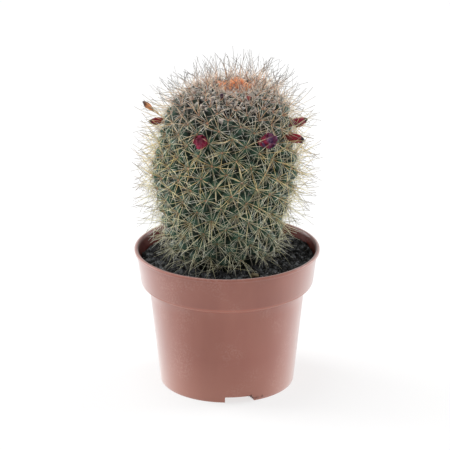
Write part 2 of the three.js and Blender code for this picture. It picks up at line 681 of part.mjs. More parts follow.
function named(name, geometry, material) {
  const mesh = new THREE.Mesh(geometry, material);
  mesh.name = name;
  return mesh;
}

const meridian = stemMeridian();
const stem = tubercles(meridian);
const grown = stem.filter(({ tip }) => tip.z > LOWEST_TUBERCLE);
const triangles = neighbourTriangles(stem);
const valleys = valleyPoints(stem, triangles);
const flowerSeats = bloomSeats(FLOWERS, meridian, valleys);
const budSeats = bloomSeats(BUDS, meridian, valleys);

const pottedCactus = new THREE.Group();
pottedCactus.name = 'potted_round_cactus';
pottedCactus.add(named('pot', potGeometry(), potMaterial));
pottedCactus.add(named('soil', soilGeometry(), soilMaterial));
const cactus = cactusGeometry({ stem, grown, triangles, valleys }, [...flowerSeats, ...budSeats]);
pottedCactus.add(named('cactus', cactus, stemMaterial));
pottedCactus.add(named('crown_tuft', tuftGeometry(), tuftMaterial));
flowerSeats.forEach((seat, i) => {
  pottedCactus.add(named(`flower_${i + 1}`, bloomGeometry(seat), flowerMaterial));
});
budSeats.forEach((seat, i) => {
  pottedCactus.add(named(`bud_${i + 1}`, bloomGeometry(seat), budMaterial));
});

export default pottedCactus;
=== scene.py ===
"""Looks of the potted round cactus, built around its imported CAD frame.

Metres, +Z up. The origin is on the pot's axis, at the plane of its foot. Sizes that a class gives
in millimetres are multiplied by MM at the mesh.
"""

import logging
import math
from collections.abc import Iterator, Sequence
from contextlib import contextmanager
from dataclasses import dataclass, field
from enum import Enum
from functools import cached_property

import bmesh
import bpy
import numpy as np
from bpy.types import Material, Node, NodeSocket, Object
from mathutils import Matrix, Vector


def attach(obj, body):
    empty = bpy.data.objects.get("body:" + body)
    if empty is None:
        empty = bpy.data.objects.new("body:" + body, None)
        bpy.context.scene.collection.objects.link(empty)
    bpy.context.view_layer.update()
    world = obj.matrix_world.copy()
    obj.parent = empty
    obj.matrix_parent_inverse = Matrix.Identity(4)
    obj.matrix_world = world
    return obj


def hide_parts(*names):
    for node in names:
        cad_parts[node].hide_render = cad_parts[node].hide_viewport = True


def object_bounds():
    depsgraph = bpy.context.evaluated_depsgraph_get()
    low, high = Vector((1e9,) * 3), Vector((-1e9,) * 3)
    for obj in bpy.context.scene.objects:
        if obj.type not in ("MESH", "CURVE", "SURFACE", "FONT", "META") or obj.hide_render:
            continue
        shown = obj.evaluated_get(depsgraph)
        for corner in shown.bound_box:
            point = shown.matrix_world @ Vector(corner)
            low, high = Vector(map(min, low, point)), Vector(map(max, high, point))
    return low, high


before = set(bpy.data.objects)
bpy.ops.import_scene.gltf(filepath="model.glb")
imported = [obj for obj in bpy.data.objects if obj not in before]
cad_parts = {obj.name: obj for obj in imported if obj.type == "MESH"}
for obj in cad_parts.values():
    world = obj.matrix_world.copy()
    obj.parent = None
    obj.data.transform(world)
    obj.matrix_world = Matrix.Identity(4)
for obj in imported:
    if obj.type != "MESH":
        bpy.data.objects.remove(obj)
CAD_BOX = [list(corner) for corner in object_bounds()]

MM = 0.001
BODY = "root"
SMALLEST_RADIUS = 1e-4
Array = np.ndarray
Colour = tuple[float, float, float]
Pair = tuple[float, float]
Pairs = Sequence[Pair]
Stops = Sequence[tuple[float, Colour]]
Ring = tuple[float, float, float]
WHITE: Colour = (1.0, 1.0, 1.0)
UPWARD = np.array([0.0, 0.0, 1.0])
log = logging.getLogger("potted_cactus")


class Slot(Enum):
    """The record's material slots."""

    POT = "pot_plastic"
    PEAT = "peat"
    STEM = "stem_skin"
    SPINES = "spines"
    YOUNG = "young_spines"
    WOOL = "wool"
    FLOWER = "withered_flower"
    BUD = "bud"


# Small sums on arrays of points


def unit(vectors: Array) -> Array:
    """Rows of vectors, each brought to length one."""
    return vectors / np.maximum(np.linalg.norm(vectors, axis=-1, keepdims=True), 1e-12)


def scaled(vectors: Array, sizes: Array) -> Array:
    """Rows of vectors, each multiplied by its own size."""
    return vectors * sizes[:, None]


def between(limits: Pair, share: Array | float) -> Array | float:
    """The values at shares of the way from the first limit to the second."""
    return limits[0] + (limits[1] - limits[0]) * share


def smoothstep(values: Array, low: float, high: float) -> Array:
    """Numbers that ease from 0 at the low end to 1 at the high one."""
    share = np.clip((np.asarray(values, float) - low) / (high - low), 0.0, 1.0)
    return share * share * (3.0 - 2.0 * share)


def polar(radius: Array | float, azimuth: Array, height: Array | float) -> Array:
    """Points about the Z axis, one row for each azimuth in radians."""
    level = np.zeros(len(azimuth)) + height
    return np.stack([radius * np.cos(azimuth), radius * np.sin(azimuth), level], 1)


def turns(first: float, last: float, count: int) -> list[float]:
    """Even steps in radians, between two angles in degrees."""
    return [math.radians(first + step * (last - first) / (count - 1)) for step in range(count)]


def across(way: Array) -> tuple[Array, Array]:
    """Find two directions square to each row of way and to each other.

    Args:
        way: Unit vectors.

    Returns:
        The sideways and the upward ones.
    """
    helper = np.where(np.abs(way[:, 2:3]) < 0.9, [[0.0, 0.0, 1.0]], [[1.0, 0.0, 0.0]])
    side = unit(np.cross(helper, way))
    return side, np.cross(way, side)


class Seeded:
    """A piece that chance shapes, in the same way each time."""

    seed: int

    @cached_property
    def rng(self) -> np.random.Generator:
        """The source of chance."""
        return np.random.default_rng(self.seed)


# Modelling with Blender's operators


def deselect_all() -> None:
    """Leave edit mode, if a piece is in it, and select nothing."""
    if bpy.context.mode != "OBJECT":
        bpy.ops.object.mode_set(mode="OBJECT")
    bpy.ops.object.select_all(action="DESELECT")


def only(piece: Object) -> None:
    """Select one piece and make it active.

    Args:
        piece: The piece.
    """
    deselect_all()
    piece.select_set(True)
    bpy.context.view_layer.objects.active = piece


@contextmanager
def editing(piece: Object) -> Iterator[None]:
    """Hold a piece in edit mode through a with block, all selected at its start.

    Args:
        piece: The piece to shape.

    Returns:
        A context manager.
    """
    only(piece)
    bpy.ops.object.mode_set(mode="EDIT")
    bpy.ops.mesh.select_all(action="SELECT")
    yield
    bpy.ops.object.mode_set(mode="OBJECT")


def settle(piece: Object, name: str) -> Object:
    """Name a piece and put its place, turn and size in its mesh.

    Args:
        piece: The modelled object.
        name: Its new name.

    Returns:
        The same object, at the origin.
    """
    only(piece)
    bpy.ops.object.transform_apply(location=True, rotation=True, scale=True)
    piece.name = name
    piece.data.name = name
    return piece


def close_skin(piece: Object) -> None:
    """Merge doubled points and turn all faces outwards."""
    with editing(piece):
        bpy.ops.mesh.remove_doubles(threshold=1e-6)
        bpy.ops.mesh.normals_make_consistent(inside=False)


def select_rim(piece: Object) -> None:
    """Select only the open edge of a piece.

    Args:
        piece: A piece that is in edit mode.
    """
    bpy.ops.mesh.select_mode(type="EDGE")
    bpy.ops.mesh.select_all(action="DESELECT")
    shape = bmesh.from_edit_mesh(piece.data)
    for edge in shape.edges:
        if edge.is_boundary:
            edge.select_set(True)
    bmesh.update_edit_mesh(piece.data)


def extrude_ring(last: Ring, ring: Ring, scale: float = 1.0) -> None:
    """Extrude the selected round edge to its next ring, in edit mode.

    Args:
        last: Radius, height and sideways shift of the selected ring.
        ring: The same of the next one.
        scale: Metres to one unit of the rings.
    """
    move = ((ring[2] - last[2]) * scale, 0, (ring[1] - last[1]) * scale)
    bpy.ops.mesh.extrude_edges_move(TRANSFORM_OT_translate={"value": move})
    share = ring[0] / last[0]
    centre = (ring[2] * scale, 0, ring[1] * scale)
    bpy.ops.transform.resize(value=(share, share, 1), center_override=centre)


def turn_rings(name: str, rings: Sequence[Ring], sides: int) -> Object:
    """Draw a turned form out of a disc, ring by ring, and close it at the last.

    Args:
        name: Name of the piece.
        rings: Radius, height and shift of each ring in mm.
        sides: Sides of every ring.

    Returns:
        The closed piece, at the origin.
    """
    deselect_all()
    rings = [(max(radius, SMALLEST_RADIUS), height, shift) for radius, height, shift in rings]
    radius, height, shift = rings[0]
    bpy.ops.mesh.primitive_circle_add(
        vertices=sides, radius=radius * MM, fill_type="TRIFAN", location=(shift * MM, 0, height * MM)
    )
    piece = bpy.context.object
    with editing(piece):
        select_rim(piece)
        for last, ring in zip(rings[:-1], rings[1:]):
            extrude_ring(last, ring, MM)
        bpy.ops.mesh.merge(type="CENTER")
    close_skin(piece)
    return settle(piece, name)


def smooth(piece: Object, degrees: float | None = None) -> None:
    """Shade a piece smooth.

    Args:
        piece: The piece.
        degrees: The widest angle between faces that is smoothed, or None for all of them.
    """
    only(piece)
    if degrees is None:
        bpy.ops.object.shade_smooth()
    else:
        bpy.ops.object.shade_smooth_by_angle(angle=math.radians(degrees))


def cut_out(piece: Object, cutters: Sequence[Object]) -> None:
    """Cut bodies out of a piece with Boolean modifiers, and remove them.

    Args:
        piece: The piece to cut.
        cutters: The bodies to cut out of it.
    """
    for cutter in cutters:
        only(piece)
        cut = piece.modifiers.new("cut", "BOOLEAN")
        cut.operation = "DIFFERENCE"
        cut.solver = "EXACT"
        cut.object = cutter
        bpy.ops.object.modifier_apply(modifier=cut.name)
        bpy.data.objects.remove(cutter)


def join(pieces: Sequence[Object], name: str) -> Object:
    """Join pieces into the first one.

    Args:
        pieces: The pieces.
        name: Name of the joined one.

    Returns:
        The joined piece, at the origin.
    """
    deselect_all()
    for piece in pieces:
        piece.select_set(True)
    bpy.context.view_layer.objects.active = pieces[0]
    bpy.ops.object.join()
    return settle(pieces[0], name)


def write_mark(piece: Object, name: str, values: Array | float) -> None:
    """Write a number for each point of a piece, for its finish to read.

    Args:
        piece: The piece.
        name: Name of the attribute.
        values: The numbers, or one for all points.
    """
    mark = piece.data.attributes.new(name, "FLOAT", "POINT")
    values = np.broadcast_to(np.asarray(values, np.float32), len(piece.data.vertices))
    mark.data.foreach_set("value", np.ascontiguousarray(values))


def read_points(piece: Object) -> Array:
    """Read the points of a piece.

    Args:
        piece: The piece.

    Returns:
        Rows of three numbers, in metres.
    """
    flat = np.empty(len(piece.data.vertices) * 3, np.float32)
    piece.data.vertices.foreach_get("co", flat)
    return flat.reshape(-1, 3).astype(float)


def write_points(piece: Object, points: Array) -> None:
    """Move the points of a piece to new places."""
    piece.data.vertices.foreach_set("co", np.asarray(points, np.float32).ravel())
    piece.data.update()


def keep_in_box(piece: Object) -> None:
    """Hold a piece's points inside the CAD box."""
    write_points(piece, np.clip(read_points(piece), CAD_BOX[0], CAD_BOX[1]))


# Small shapes that are copied many times into one piece


@dataclass(frozen=True)
class Pattern:
    """A small shape that was modelled once, to be copied many times into one piece.

    Its +Z runs along the copy, from 0 at the root to 1 at the end.
    """

    points: Array
    corners: Array
    sizes: Array

    @classmethod
    def lifted(cls, piece: Object) -> "Pattern":
        """Read the shape of a modelled object, and remove the object.

        Args:
            piece: The object.

        Returns:
            Its shape.
        """
        only(piece)
        bpy.ops.object.transform_apply(location=True, rotation=True, scale=True)
        mesh = piece.data
        corners = np.empty(len(mesh.loops), np.int32)
        mesh.loops.foreach_get("vertex_index", corners)
        sizes = np.empty(len(mesh.polygons), np.int32)
        mesh.polygons.foreach_get("loop_total", sizes)
        made = cls(read_points(piece), corners, sizes)
        bpy.data.objects.remove(piece)
        return made


def cut_rod(sides: int, end_width: float, cuts: Sequence[float]) -> Object:
    """Model a rod of length one along +Z, cut across so that it can bend.

    Args:
        sides: Its sides.
        end_width: Its radius at the end, against one at the root.
        cuts: The heights of the cuts.

    Returns:
        The rod, with its root on the origin.
    """
    deselect_all()
    bpy.ops.mesh.primitive_cone_add(
        vertices=sides, radius1=1.0, radius2=end_width, depth=1.0, location=(0, 0, 0.5)
    )
    rod = bpy.context.object
    with editing(rod):
        for height in cuts:
            bpy.ops.mesh.select_all(action="SELECT")
            bpy.ops.mesh.bisect(plane_co=(0, 0, height), plane_no=(0, 0, 1))
    return rod


def uneven_lump(cuts: int = 1, offset: float = 0.24, seed: int = 7) -> Pattern:
    """Model a rough lump, one unit wide and high.

    Args:
        cuts: How finely it is divided.
        offset: How far its points are moved.
        seed: Seed of their moves.

    Returns:
        The lump, with its foot on the origin.
    """
    deselect_all()
    bpy.ops.mesh.primitive_ico_sphere_add(subdivisions=cuts, radius=0.5, location=(0, 0, 0.5))
    lump = bpy.context.object
    with editing(lump):
        bpy.ops.transform.vertex_random(offset=offset, seed=seed)
    return Pattern.lifted(lump)


@dataclass
class Seats:
    """Where the copies of a pattern stand, one row each, in metres.

    way is the copy's direction, side that of its X, bow how far its end is carried sideways, and
    marks are numbers for the finish.
    """

    root: Array
    way: Array
    width: Array
    length: Array
    side: Array | None = None
    bow: Array | None = None
    marks: dict[str, Array] = field(default_factory=dict)

    def end(self, share: float) -> Array:
        """The points at a share of the way along each copy."""
        points = self.root + scaled(self.way, self.length * share)
        return points if self.bow is None else points + self.bow * share * share

    def only(self, kept: Array) -> "Seats":
        """The seats whose value in a row of true and false ones is true."""
        rows = [row if row is None else row[kept] for row in list(vars(self).values())[:-1]]
        return Seats(*rows, {name: values[kept] for name, values in self.marks.items()})

    @classmethod
    def joined(cls, parts: Sequence["Seats"]) -> "Seats":
        """Put several lots of seats into one.

        Args:
            parts: The lots, all with a bow and the same marks.

        Returns:
            All their seats.
        """
        root, way, width, length, bow = (
            np.concatenate([getattr(part, name) for part in parts])
            for name in ("root", "way", "width", "length", "bow")
        )
        marks = {name: np.concatenate([part.marks[name] for part in parts]) for name in parts[0].marks}
        return cls(root, way, width, length, bow=bow, marks=marks)


def plant(name: str, pattern: Pattern, seats: Seats) -> Object:
    """Copy a pattern onto its seats, as one mesh.

    Args:
        name: Name of the piece.
        pattern: The shape to copy.
        seats: Its seats.

    Returns:
        The piece, smooth shaded, with the attribute "along" and the marks.
    """
    count, size = len(seats.root), len(pattern.points)
    side, up = across(seats.way)
    if seats.side is not None:
        side = unit(seats.side)
        up = np.cross(seats.way, side)
    x, y, z = (pattern.points[:, i][None, :, None] for i in range(3))
    wide = seats.width[:, None, None]
    points = seats.root[:, None] + seats.way[:, None] * (seats.length[:, None, None] * z)
    points = points + side[:, None] * (wide * x) + up[:, None] * (wide * y)
    if seats.bow is not None:
        points = points + seats.bow[:, None] * (z * z)
    corners = (pattern.corners[None] + np.arange(count)[:, None] * size).ravel()
    sizes = np.tile(pattern.sizes, count)
    mesh = bpy.data.meshes.new(name)
    mesh.vertices.add(count * size)
    mesh.vertices.foreach_set("co", points.astype(np.float32).ravel())
    mesh.loops.add(len(corners))
    mesh.loops.foreach_set("vertex_index", corners.astype(np.int32))
    mesh.polygons.add(len(sizes))
    starts = np.concatenate([[0], np.cumsum(sizes)[:-1]]).astype(np.int32)
    mesh.polygons.foreach_set("loop_start", starts)
    mesh.update(calc_edges=True)
    mesh.validate()
    piece = bpy.data.objects.new(name, mesh)
    bpy.context.collection.objects.link(piece)
    write_mark(piece, "along", np.tile(np.clip(pattern.points[:, 2], 0, 1), count))
    for mark, values in seats.marks.items():
        write_mark(piece, mark, np.repeat(values, size))
    smooth(piece)
    return piece


# Finishes


class Sheet:
    """A material's node tree, with one short call for each kind of node the finishes use."""

    def __init__(self, name: str, roughness: float, specular: float) -> None:
        """Start a Principled material.

        Args:
            name: Name of the material.
            roughness: Its roughness.
            specular: The level of its sheer reflection.
        """
        self.material = bpy.data.materials.new(name)
        self.material.use_nodes = True
        self.nodes = self.material.node_tree.nodes
        self.links = self.material.node_tree.links
        self.shader = self.nodes["Principled BSDF"]
        self.set("Roughness", roughness)
        self.set("Specular IOR Level", specular)
        self.place = self.node("TexCoord").outputs["Object"]

    def node(self, kind: str, *settings: tuple[str, object], **sources: object) -> Node:
        """Add a shader node.

        Args:
            kind: Its type, after the words ShaderNode.
            settings: Its own settings, each a name and a value.
            sources: What feeds its inputs, by name.

        Returns:
            The node.
        """
        node = self.nodes.new(f"ShaderNode{kind}")
        for name, value in settings:
            setattr(node, name, value)
        for name, source in sources.items():
            self.feed(node.inputs[name], source)
        return node

    def feed(self, socket: NodeSocket, source: object) -> None:
        """Link a source to a socket, or write a plain value on it.

        Args:
            socket: The input to fill.
            source: A node's output, a number or a colour.
        """
        if isinstance(source, NodeSocket):
            self.links.new(source, socket)
        elif socket.type == "RGBA" and len(source) == 3:
            socket.default_value = (*source, 1.0)
        else:
            socket.default_value = source

    def set(self, name: str, source: object) -> None:
        """Fill one of the shader's own sockets."""
        self.feed(self.shader.inputs[name], source)

    def mark(self, name: str) -> NodeSocket:
        """The number that a piece's own attribute holds."""
        return self.node("Attribute", ("attribute_name", name)).outputs["Fac"]

    def height(self) -> NodeSocket:
        """The height above the pot's foot, in metres."""
        return self.node("SeparateXYZ", Vector=self.place).outputs["Z"]

    def noise(self, scale: float, detail: float = 3.0, stretch: Colour = (1.0, 1.0, 1.0)) -> NodeSocket:
        """Cloudy noise, with scale as its number of clouds to a metre."""
        place = self.node("Mapping", Vector=self.place, Scale=stretch).outputs[0]
        return self.node("TexNoise", Vector=place, Scale=scale, Detail=detail).outputs["Fac"]

    def grains(self, scale: float) -> NodeSocket:
        """The distance to the nearest of scattered points, with scale as their number to a metre."""
        return self.node("TexVoronoi", Vector=self.place, Scale=scale).outputs["Distance"]

    def ramp(self, source: object, stops: Stops) -> NodeSocket:
        """Run a colour through stops.

        Args:
            source: A number from 0 to 1.
            stops: Places from 0 to 1, with their colours.

        Returns:
            The colour.
        """
        node = self.node("ValToRGB", Fac=source)
        band = node.color_ramp
        while len(band.elements) < len(stops):
            band.elements.new(1.0)
        for element, (place, colour) in zip(band.elements, stops):
            element.position = place
            element.color = (*colour, 1.0)
        return node.outputs["Color"]

    def window(
        self, source: object, low: float, high: float, first: float = 0.0, last: float = 1.0
    ) -> NodeSocket:
        """A number that runs from first to last while its source runs from low to high."""
        ends = {"From Min": low, "From Max": high, "To Min": first, "To Max": last}
        return self.node("MapRange", ("clamp", True), Value=source, **ends).outputs["Result"]

    def math(self, kind: str, first: object, second: object) -> NodeSocket:
        """Put two numbers together.

        Args:
            kind: Blender's name of the operation.
            first: The first number.
            second: The second one.

        Returns:
            The result.
        """
        node = self.node("Math", ("operation", kind))
        self.feed(node.inputs[0], first)
        self.feed(node.inputs[1], second)
        return node.outputs[0]

    def times(self, first: object, *others: object) -> object:
        """The product of several numbers."""
        for other in others:
            first = self.math("MULTIPLY", first, other)
        return first

    def mix(self, share: object, first: object, second: object, kind: str = "MIX") -> NodeSocket:
        """Mix two colours.

        Args:
            share: How much of the second there is.
            first: The first colour.
            second: The second one.
            kind: Blender's name of the way they mix.

        Returns:
            The mixed colour.
        """
        node = self.node("Mix", ("data_type", "RGBA"), ("blend_type", kind), Factor=share)
        self.feed(node.inputs[6], first)
        self.feed(node.inputs[7], second)
        return node.outputs[2]

    def layered(self, base: object, *layers: tuple[object, float, object]) -> object:
        """Lay colours over a base, one after another.

        Args:
            base: The colour underneath.
            layers: Mask, the most that it covers, and colour of each.

        Returns:
            The colour on top.
        """
        for mask, most, colour in layers:
            base = self.mix(self.times(mask, most), base, colour)
        return base

    def bump(self, source: object, depth: float, strength: float = 1.0) -> None:
        """Give the surface relief of a depth in metres, with source as its height from 0 to 1."""
        relief = self.node("Bump", Height=source, Distance=depth, Strength=strength)
        self.set("Normal", relief.outputs["Normal"])


@dataclass(frozen=True)
class PotPlasticFinish:
    """Brown moulded plastic, a little scuffed, with dusty patches and a redder foot band.

    Heights are in metres, and the scale of a pattern is its number of clouds to a metre.
    """

    body: Colour = (0.238, 0.050, 0.021)
    pale: Colour = (0.33, 0.100, 0.062)
    foot: Colour = (0.34, 0.115, 0.072)
    # inner: painted shade inside the pot, also half as strong on the inner part of the lip's top
    inner: Colour = (0.105, 0.018, 0.012)
    # edge: a painted highlight along the bead and the cove above it
    edge: Colour = (0.46, 0.20, 0.155)
    dust: Colour = (0.56, 0.36, 0.30)
    flush: Colour = (0.27, 0.048, 0.026)
    collar: Colour = (0.20, 0.044, 0.022)
    collar_heights: Pair = (0.064, 0.071)
    foot_heights: Pair = (0.030, 0.004)
    cloud_scale: float = 24.0
    flow_scale: float = 60.0
    flow_stretch: Colour = (1.0, 1.0, 0.16)
    flush_scale: float = 17.0
    speck_scale: float = 800.0
    patch_scale: float = 44.0
    grain_scale: float = 1400.0
    grain_depth: float = 0.00006
    dull_edge: float = 0.55
    coat_roughness: float = 0.28
    coat_index: float = 1.6
    sheen: float = 0.78
    sheen_roughness: float = 0.45

    def material(self) -> Material:
        """Build the finish.

        Returns:
            Its material.
        """
        sheet = Sheet("pot_plastic_moulded", 0.42, 0.15)
        clouds = sheet.window(sheet.noise(self.cloud_scale, 5.0), 0.35, 0.7)
        flow = sheet.window(sheet.noise(self.flow_scale, 3.0, self.flow_stretch), 0.4, 0.7)
        flush = sheet.window(sheet.noise(self.flush_scale, 2.0), 0.45, 0.7)
        specks = sheet.window(sheet.noise(self.speck_scale, 4.0), 0.44, 0.66)
        patches = sheet.window(sheet.noise(self.patch_scale, 5.0), 0.52, 0.66)
        body = sheet.layered(
            self.body,
            (sheet.window(sheet.height(), *self.collar_heights), 0.5, self.collar),
            (clouds, 0.4, self.pale),
            (flush, 0.5, self.flush),
            (flow, 0.4, self.pale),
            (sheet.window(sheet.height(), *self.foot_heights), 0.8, self.foot),
            (sheet.times(specks, patches), 0.16, self.dust),
        )
        # painted highlight on the bead and cove
        body = sheet.mix(sheet.mark("edge"), body, self.edge)
        # painted shade inside the pot and on the lip's inner top
        sheet.set("Base Color", sheet.mix(sheet.mark("inner"), body, self.inner))
        sheet.set("Roughness", sheet.window(clouds, 0.0, 1.0, 0.36, 0.5))
        gloss = sheet.times(
            sheet.window(sheet.mark("inner"), 1.0, 0.0),
            sheet.window(sheet.mark("edge"), self.dull_edge, 0.0),
        )
        sheet.set("Coat Weight", gloss)
        sheet.set("Coat Roughness", self.coat_roughness)
        sheet.set("Coat IOR", self.coat_index)
        sheet.set("Sheen Weight", sheet.times(gloss, self.sheen))
        sheet.set("Sheen Roughness", self.sheen_roughness)
        grain = sheet.noise(self.grain_scale, 2.0)
        sheet.bump(sheet.math("ADD", grain, sheet.times(flow, 0.6)), self.grain_depth, 0.5)
        return sheet.material


@dataclass(frozen=True)
class PeatFinish:
    """Damp black peat, with paler dry grains."""

    dark: Colour = (0.005, 0.005, 0.005)
    middle: Colour = (0.016, 0.015, 0.0145)
    dry: Colour = (0.07, 0.07, 0.07)
    lump_scale: float = 420.0
    grain_scale: float = 1900.0
    depth: float = 0.0009

    def material(self) -> Material:
        """Build the finish.

        Returns:
            Its material.
        """
        sheet = Sheet("peat_damp", 0.85, 0.3)
        lumps = sheet.noise(self.lump_scale, 6.0)
        grain = sheet.noise(self.grain_scale, 4.0)
        body = sheet.ramp(lumps, [(0.3, self.dark), (0.62, self.middle), (0.8, self.dry)])
        sheet.set("Base Color", sheet.mix(sheet.window(grain, 0.45, 0.8), self.dark, body))
        sheet.bump(sheet.math("ADD", lumps, grain), self.depth)
        return sheet.material


@dataclass(frozen=True)
class CrumbFinish:
    """Loose bits, each with its own shade between two colours."""

    name: str
    dark: Colour
    pale: Colour
    roughness: float = 0.8
    stain_scale: float = 2600.0
    grain_scale: float = 3200.0
    depth: float = 0.0003

    def material(self) -> Material:
        """Build the finish.

        Returns:
            Its material.
        """
        sheet = Sheet(self.name, self.roughness, 0.3)
        body = sheet.mix(sheet.mark("hue"), self.dark, self.pale)
        clean = sheet.window(sheet.noise(self.stain_scale), 0.35, 0.75)
        sheet.set("Base Color", sheet.mix(clean, self.dark, body))
        sheet.bump(sheet.noise(self.grain_scale), self.depth)
        return sheet.material


@dataclass(frozen=True)
class StemSkinFinish:
    """Dark green skin: the tubercle tips greyer, a painted highlight, and the axils near black, painted
    shade.

    Heights are in metres. Painted shade darkens the shoulder under the wool, and the foot near the
    peat.
    """

    # axil is painted shade and tip a painted highlight; the skin runs between them from foot to tip
    axil: Colour = (0.003, 0.005, 0.003)
    flank: Colour = (0.009, 0.023, 0.013)
    tip: Colour = (0.038, 0.092, 0.054)
    # bloom: partly the skin's real waxy bloom, partly a painted highlight on the tips
    bloom: Colour = (0.14, 0.27, 0.21)
    # shoulder: painted shade under the crown wool
    shoulder: Colour = (0.016, 0.009, 0.010)
    shoulder_heights: Pair = (0.168, 0.19)
    foot_heights: Pair = (0.118, 0.090)
    cloud_scale: float = 95.0
    dot_scale: float = 2300.0
    relief_scale: float = 900.0
    depth: float = 0.00025

    def material(self) -> Material:
        """Build the finish.

        Returns:
            Its material.
        """
        sheet = Sheet("stem_skin_green", 0.5, 0.22)
        rise = sheet.mark("along")
        grey = sheet.window(sheet.noise(self.cloud_scale, 4.0), 0.42, 0.72)
        dots = sheet.window(sheet.grains(self.dot_scale), 0.22, 0.1)
        body = sheet.layered(
            # painted shade in the axils, painted highlight on the tips
            sheet.ramp(rise, [(0.0, self.axil), (0.45, self.flank), (1.0, self.tip)]),
            # painted shade under the wool and near the peat
            (sheet.window(sheet.height(), *self.shoulder_heights), 0.65, self.shoulder),
            (sheet.window(sheet.height(), *self.foot_heights), 0.6, self.axil),
            # bloom on the tips: partly real, partly painted highlight
            (sheet.times(grey, rise), 0.4, self.bloom),
            (sheet.times(dots, rise), 0.3, self.bloom),
        )
        sheet.set("Base Color", body)
        sheet.set("Roughness", sheet.window(grey, 0.0, 1.0, 0.38, 0.6))
        sheet.bump(sheet.noise(self.relief_scale, 4.0), self.depth, 0.7)
        return sheet.material


@dataclass(frozen=True)
class SpineFinish:
    """Horny spines: a coloured base, a paler middle and a thin dark tip.

    body, crown and young are colours along a spine low on the stem, at the crown and in its
    youngest rows, and shades each spine's own tone. Heights, in metres, say where some spines
    are gilded and where, towards the foot, they turn paler.
    """

    name: str
    body: Stops
    crown: Stops
    young: Stops
    gilding: float = 0.0
    gilt: Colour = (0.98, 0.72, 0.36)
    gilt_from: Pair = (0.128, 0.15)
    gilt_to: Pair = (0.2, 0.18)
    gilt_some: Pair = (0.45, 0.7)
    # spines are mixed paler towards the foot of the stem
    bleached: Colour = (0.70, 0.75, 0.60)
    bleached_heights: Pair = (0.122, 0.100)
    shades: Stops = (
        (0.0, (0.12, 0.08, 0.07)), (0.14, (0.4, 0.35, 0.3)), (0.3, (0.94, 0.90, 0.78)),
        (0.6, (1.0, 0.92, 0.66)), (0.8, WHITE),
    )
    dust: Colour = (0.9, 0.86, 0.74)
    dust_scale: float = 1500.0

    def material(self) -> Material:
        """Build the finish.

        Returns:
            Its material.
        """
        sheet = Sheet(self.name, 0.36, 0.6)
        along = sheet.mark("along")
        rise = sheet.height()
        band = sheet.times(
            sheet.window(rise, *self.gilt_from),
            sheet.window(rise, *self.gilt_to),
            sheet.window(sheet.mark("hue"), *self.gilt_some),
            self.gilding,
        )
        low = sheet.mix(band, sheet.ramp(along, self.body), self.gilt, "MULTIPLY")
        low = sheet.layered(low, (sheet.window(rise, *self.bleached_heights), 0.5, self.bleached))
        body = sheet.mix(sheet.mark("crown"), low, sheet.ramp(along, self.crown))
        body = sheet.mix(sheet.mark("young"), body, sheet.ramp(along, self.young))
        body = sheet.mix(0.85, body, sheet.ramp(sheet.mark("hue"), self.shades), "MULTIPLY")
        dusty = sheet.window(sheet.noise(self.dust_scale, 2.0), 0.3, 0.7)
        sheet.set("Base Color", sheet.layered(body, (dusty, 0.12, self.dust)))
        return sheet.material


@dataclass(frozen=True)
class WoolFinish:
    """Soft fibres, off white with a warm shade where they are old."""

    name: str
    fresh: Colour = (0.88, 0.86, 0.83)
    old: Colour = (0.42, 0.30, 0.20)
    shade: Colour = (0.55, 0.5, 0.45)
    tone_scale: float = 1200.0
    relief_scale: float = 2600.0
    depth: float = 0.0003

    def material(self) -> Material:
        """Build the finish.

        Returns:
            Its material.
        """
        sheet = Sheet(self.name, 0.9, 0.2)
        body = sheet.mix(sheet.mark("crown"), self.old, self.fresh)
        tone = sheet.window(sheet.noise(self.tone_scale), 0.3, 0.7)
        tones = sheet.ramp(tone, [(0.0, self.shade), (1.0, WHITE)])
        sheet.set("Base Color", sheet.mix(0.4, body, tones, "MULTIPLY"))
        sheet.bump(sheet.noise(self.relief_scale), self.depth)
        return sheet.material


@dataclass(frozen=True)
class PetalFinish:
    """Dried petals, from their foot to a shrivelled tip, with a throat of another colour."""

    name: str
    foot: Colour
    middle: Colour
    tip: Colour
    throat: Colour
    vein: Colour = (0.3, 0.24, 0.26)
    faded: Colour = (0.62, 0.36, 0.36)
    tip_places: Pair = (0.74, 0.87)
    vein_scale: float = 1100.0
    fade_scale: float = 650.0
    relief_scale: float = 1800.0
    depth: float = 0.0003

    def material(self) -> Material:
        """Build the finish.

        Returns:
            Its material.
        """
        sheet = Sheet(self.name, 0.62, 0.35)
        shrinks, shrunk = self.tip_places
        stops = [(0.0, self.foot), (0.3, self.middle), (shrinks, self.middle), (shrunk, self.tip)]
        body = sheet.mix(sheet.mark("inner"), sheet.ramp(sheet.mark("along"), stops), self.throat)
        veins = sheet.window(sheet.noise(self.vein_scale), 0.35, 0.7)
        tones = sheet.ramp(veins, [(0.0, self.vein), (1.0, WHITE)])
        body = sheet.mix(0.75, body, tones, "MULTIPLY")
        fading = sheet.window(sheet.noise(self.fade_scale, 4.0), 0.58, 0.75)
        sheet.set("Base Color", sheet.layered(body, (fading, 0.35, self.faded)))
        sheet.bump(sheet.noise(self.relief_scale, 4.0), self.depth)
        return sheet.material


def dress(piece: Object, slot: Slot, material: Material, *nodes: str) -> Object:
    """Give a piece its material, and tie it to the CAD frame.

    Args:
        piece: The finished piece.
        slot: The record's slot of its finish. Not used.
        material: Its material.
        nodes: The CAD nodes that it stands for.

    Returns:
        The same piece.
    """
    piece.data.materials.clear()
    piece.data.materials.append(material)
    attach(piece, BODY)
    if nodes:
        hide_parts(*nodes)
    triangles = sum(len(face.vertices) - 2 for face in piece.data.polygons)
    log.info("%s: %d triangles", piece.name, triangles)
    return piece


# The pot and its peat


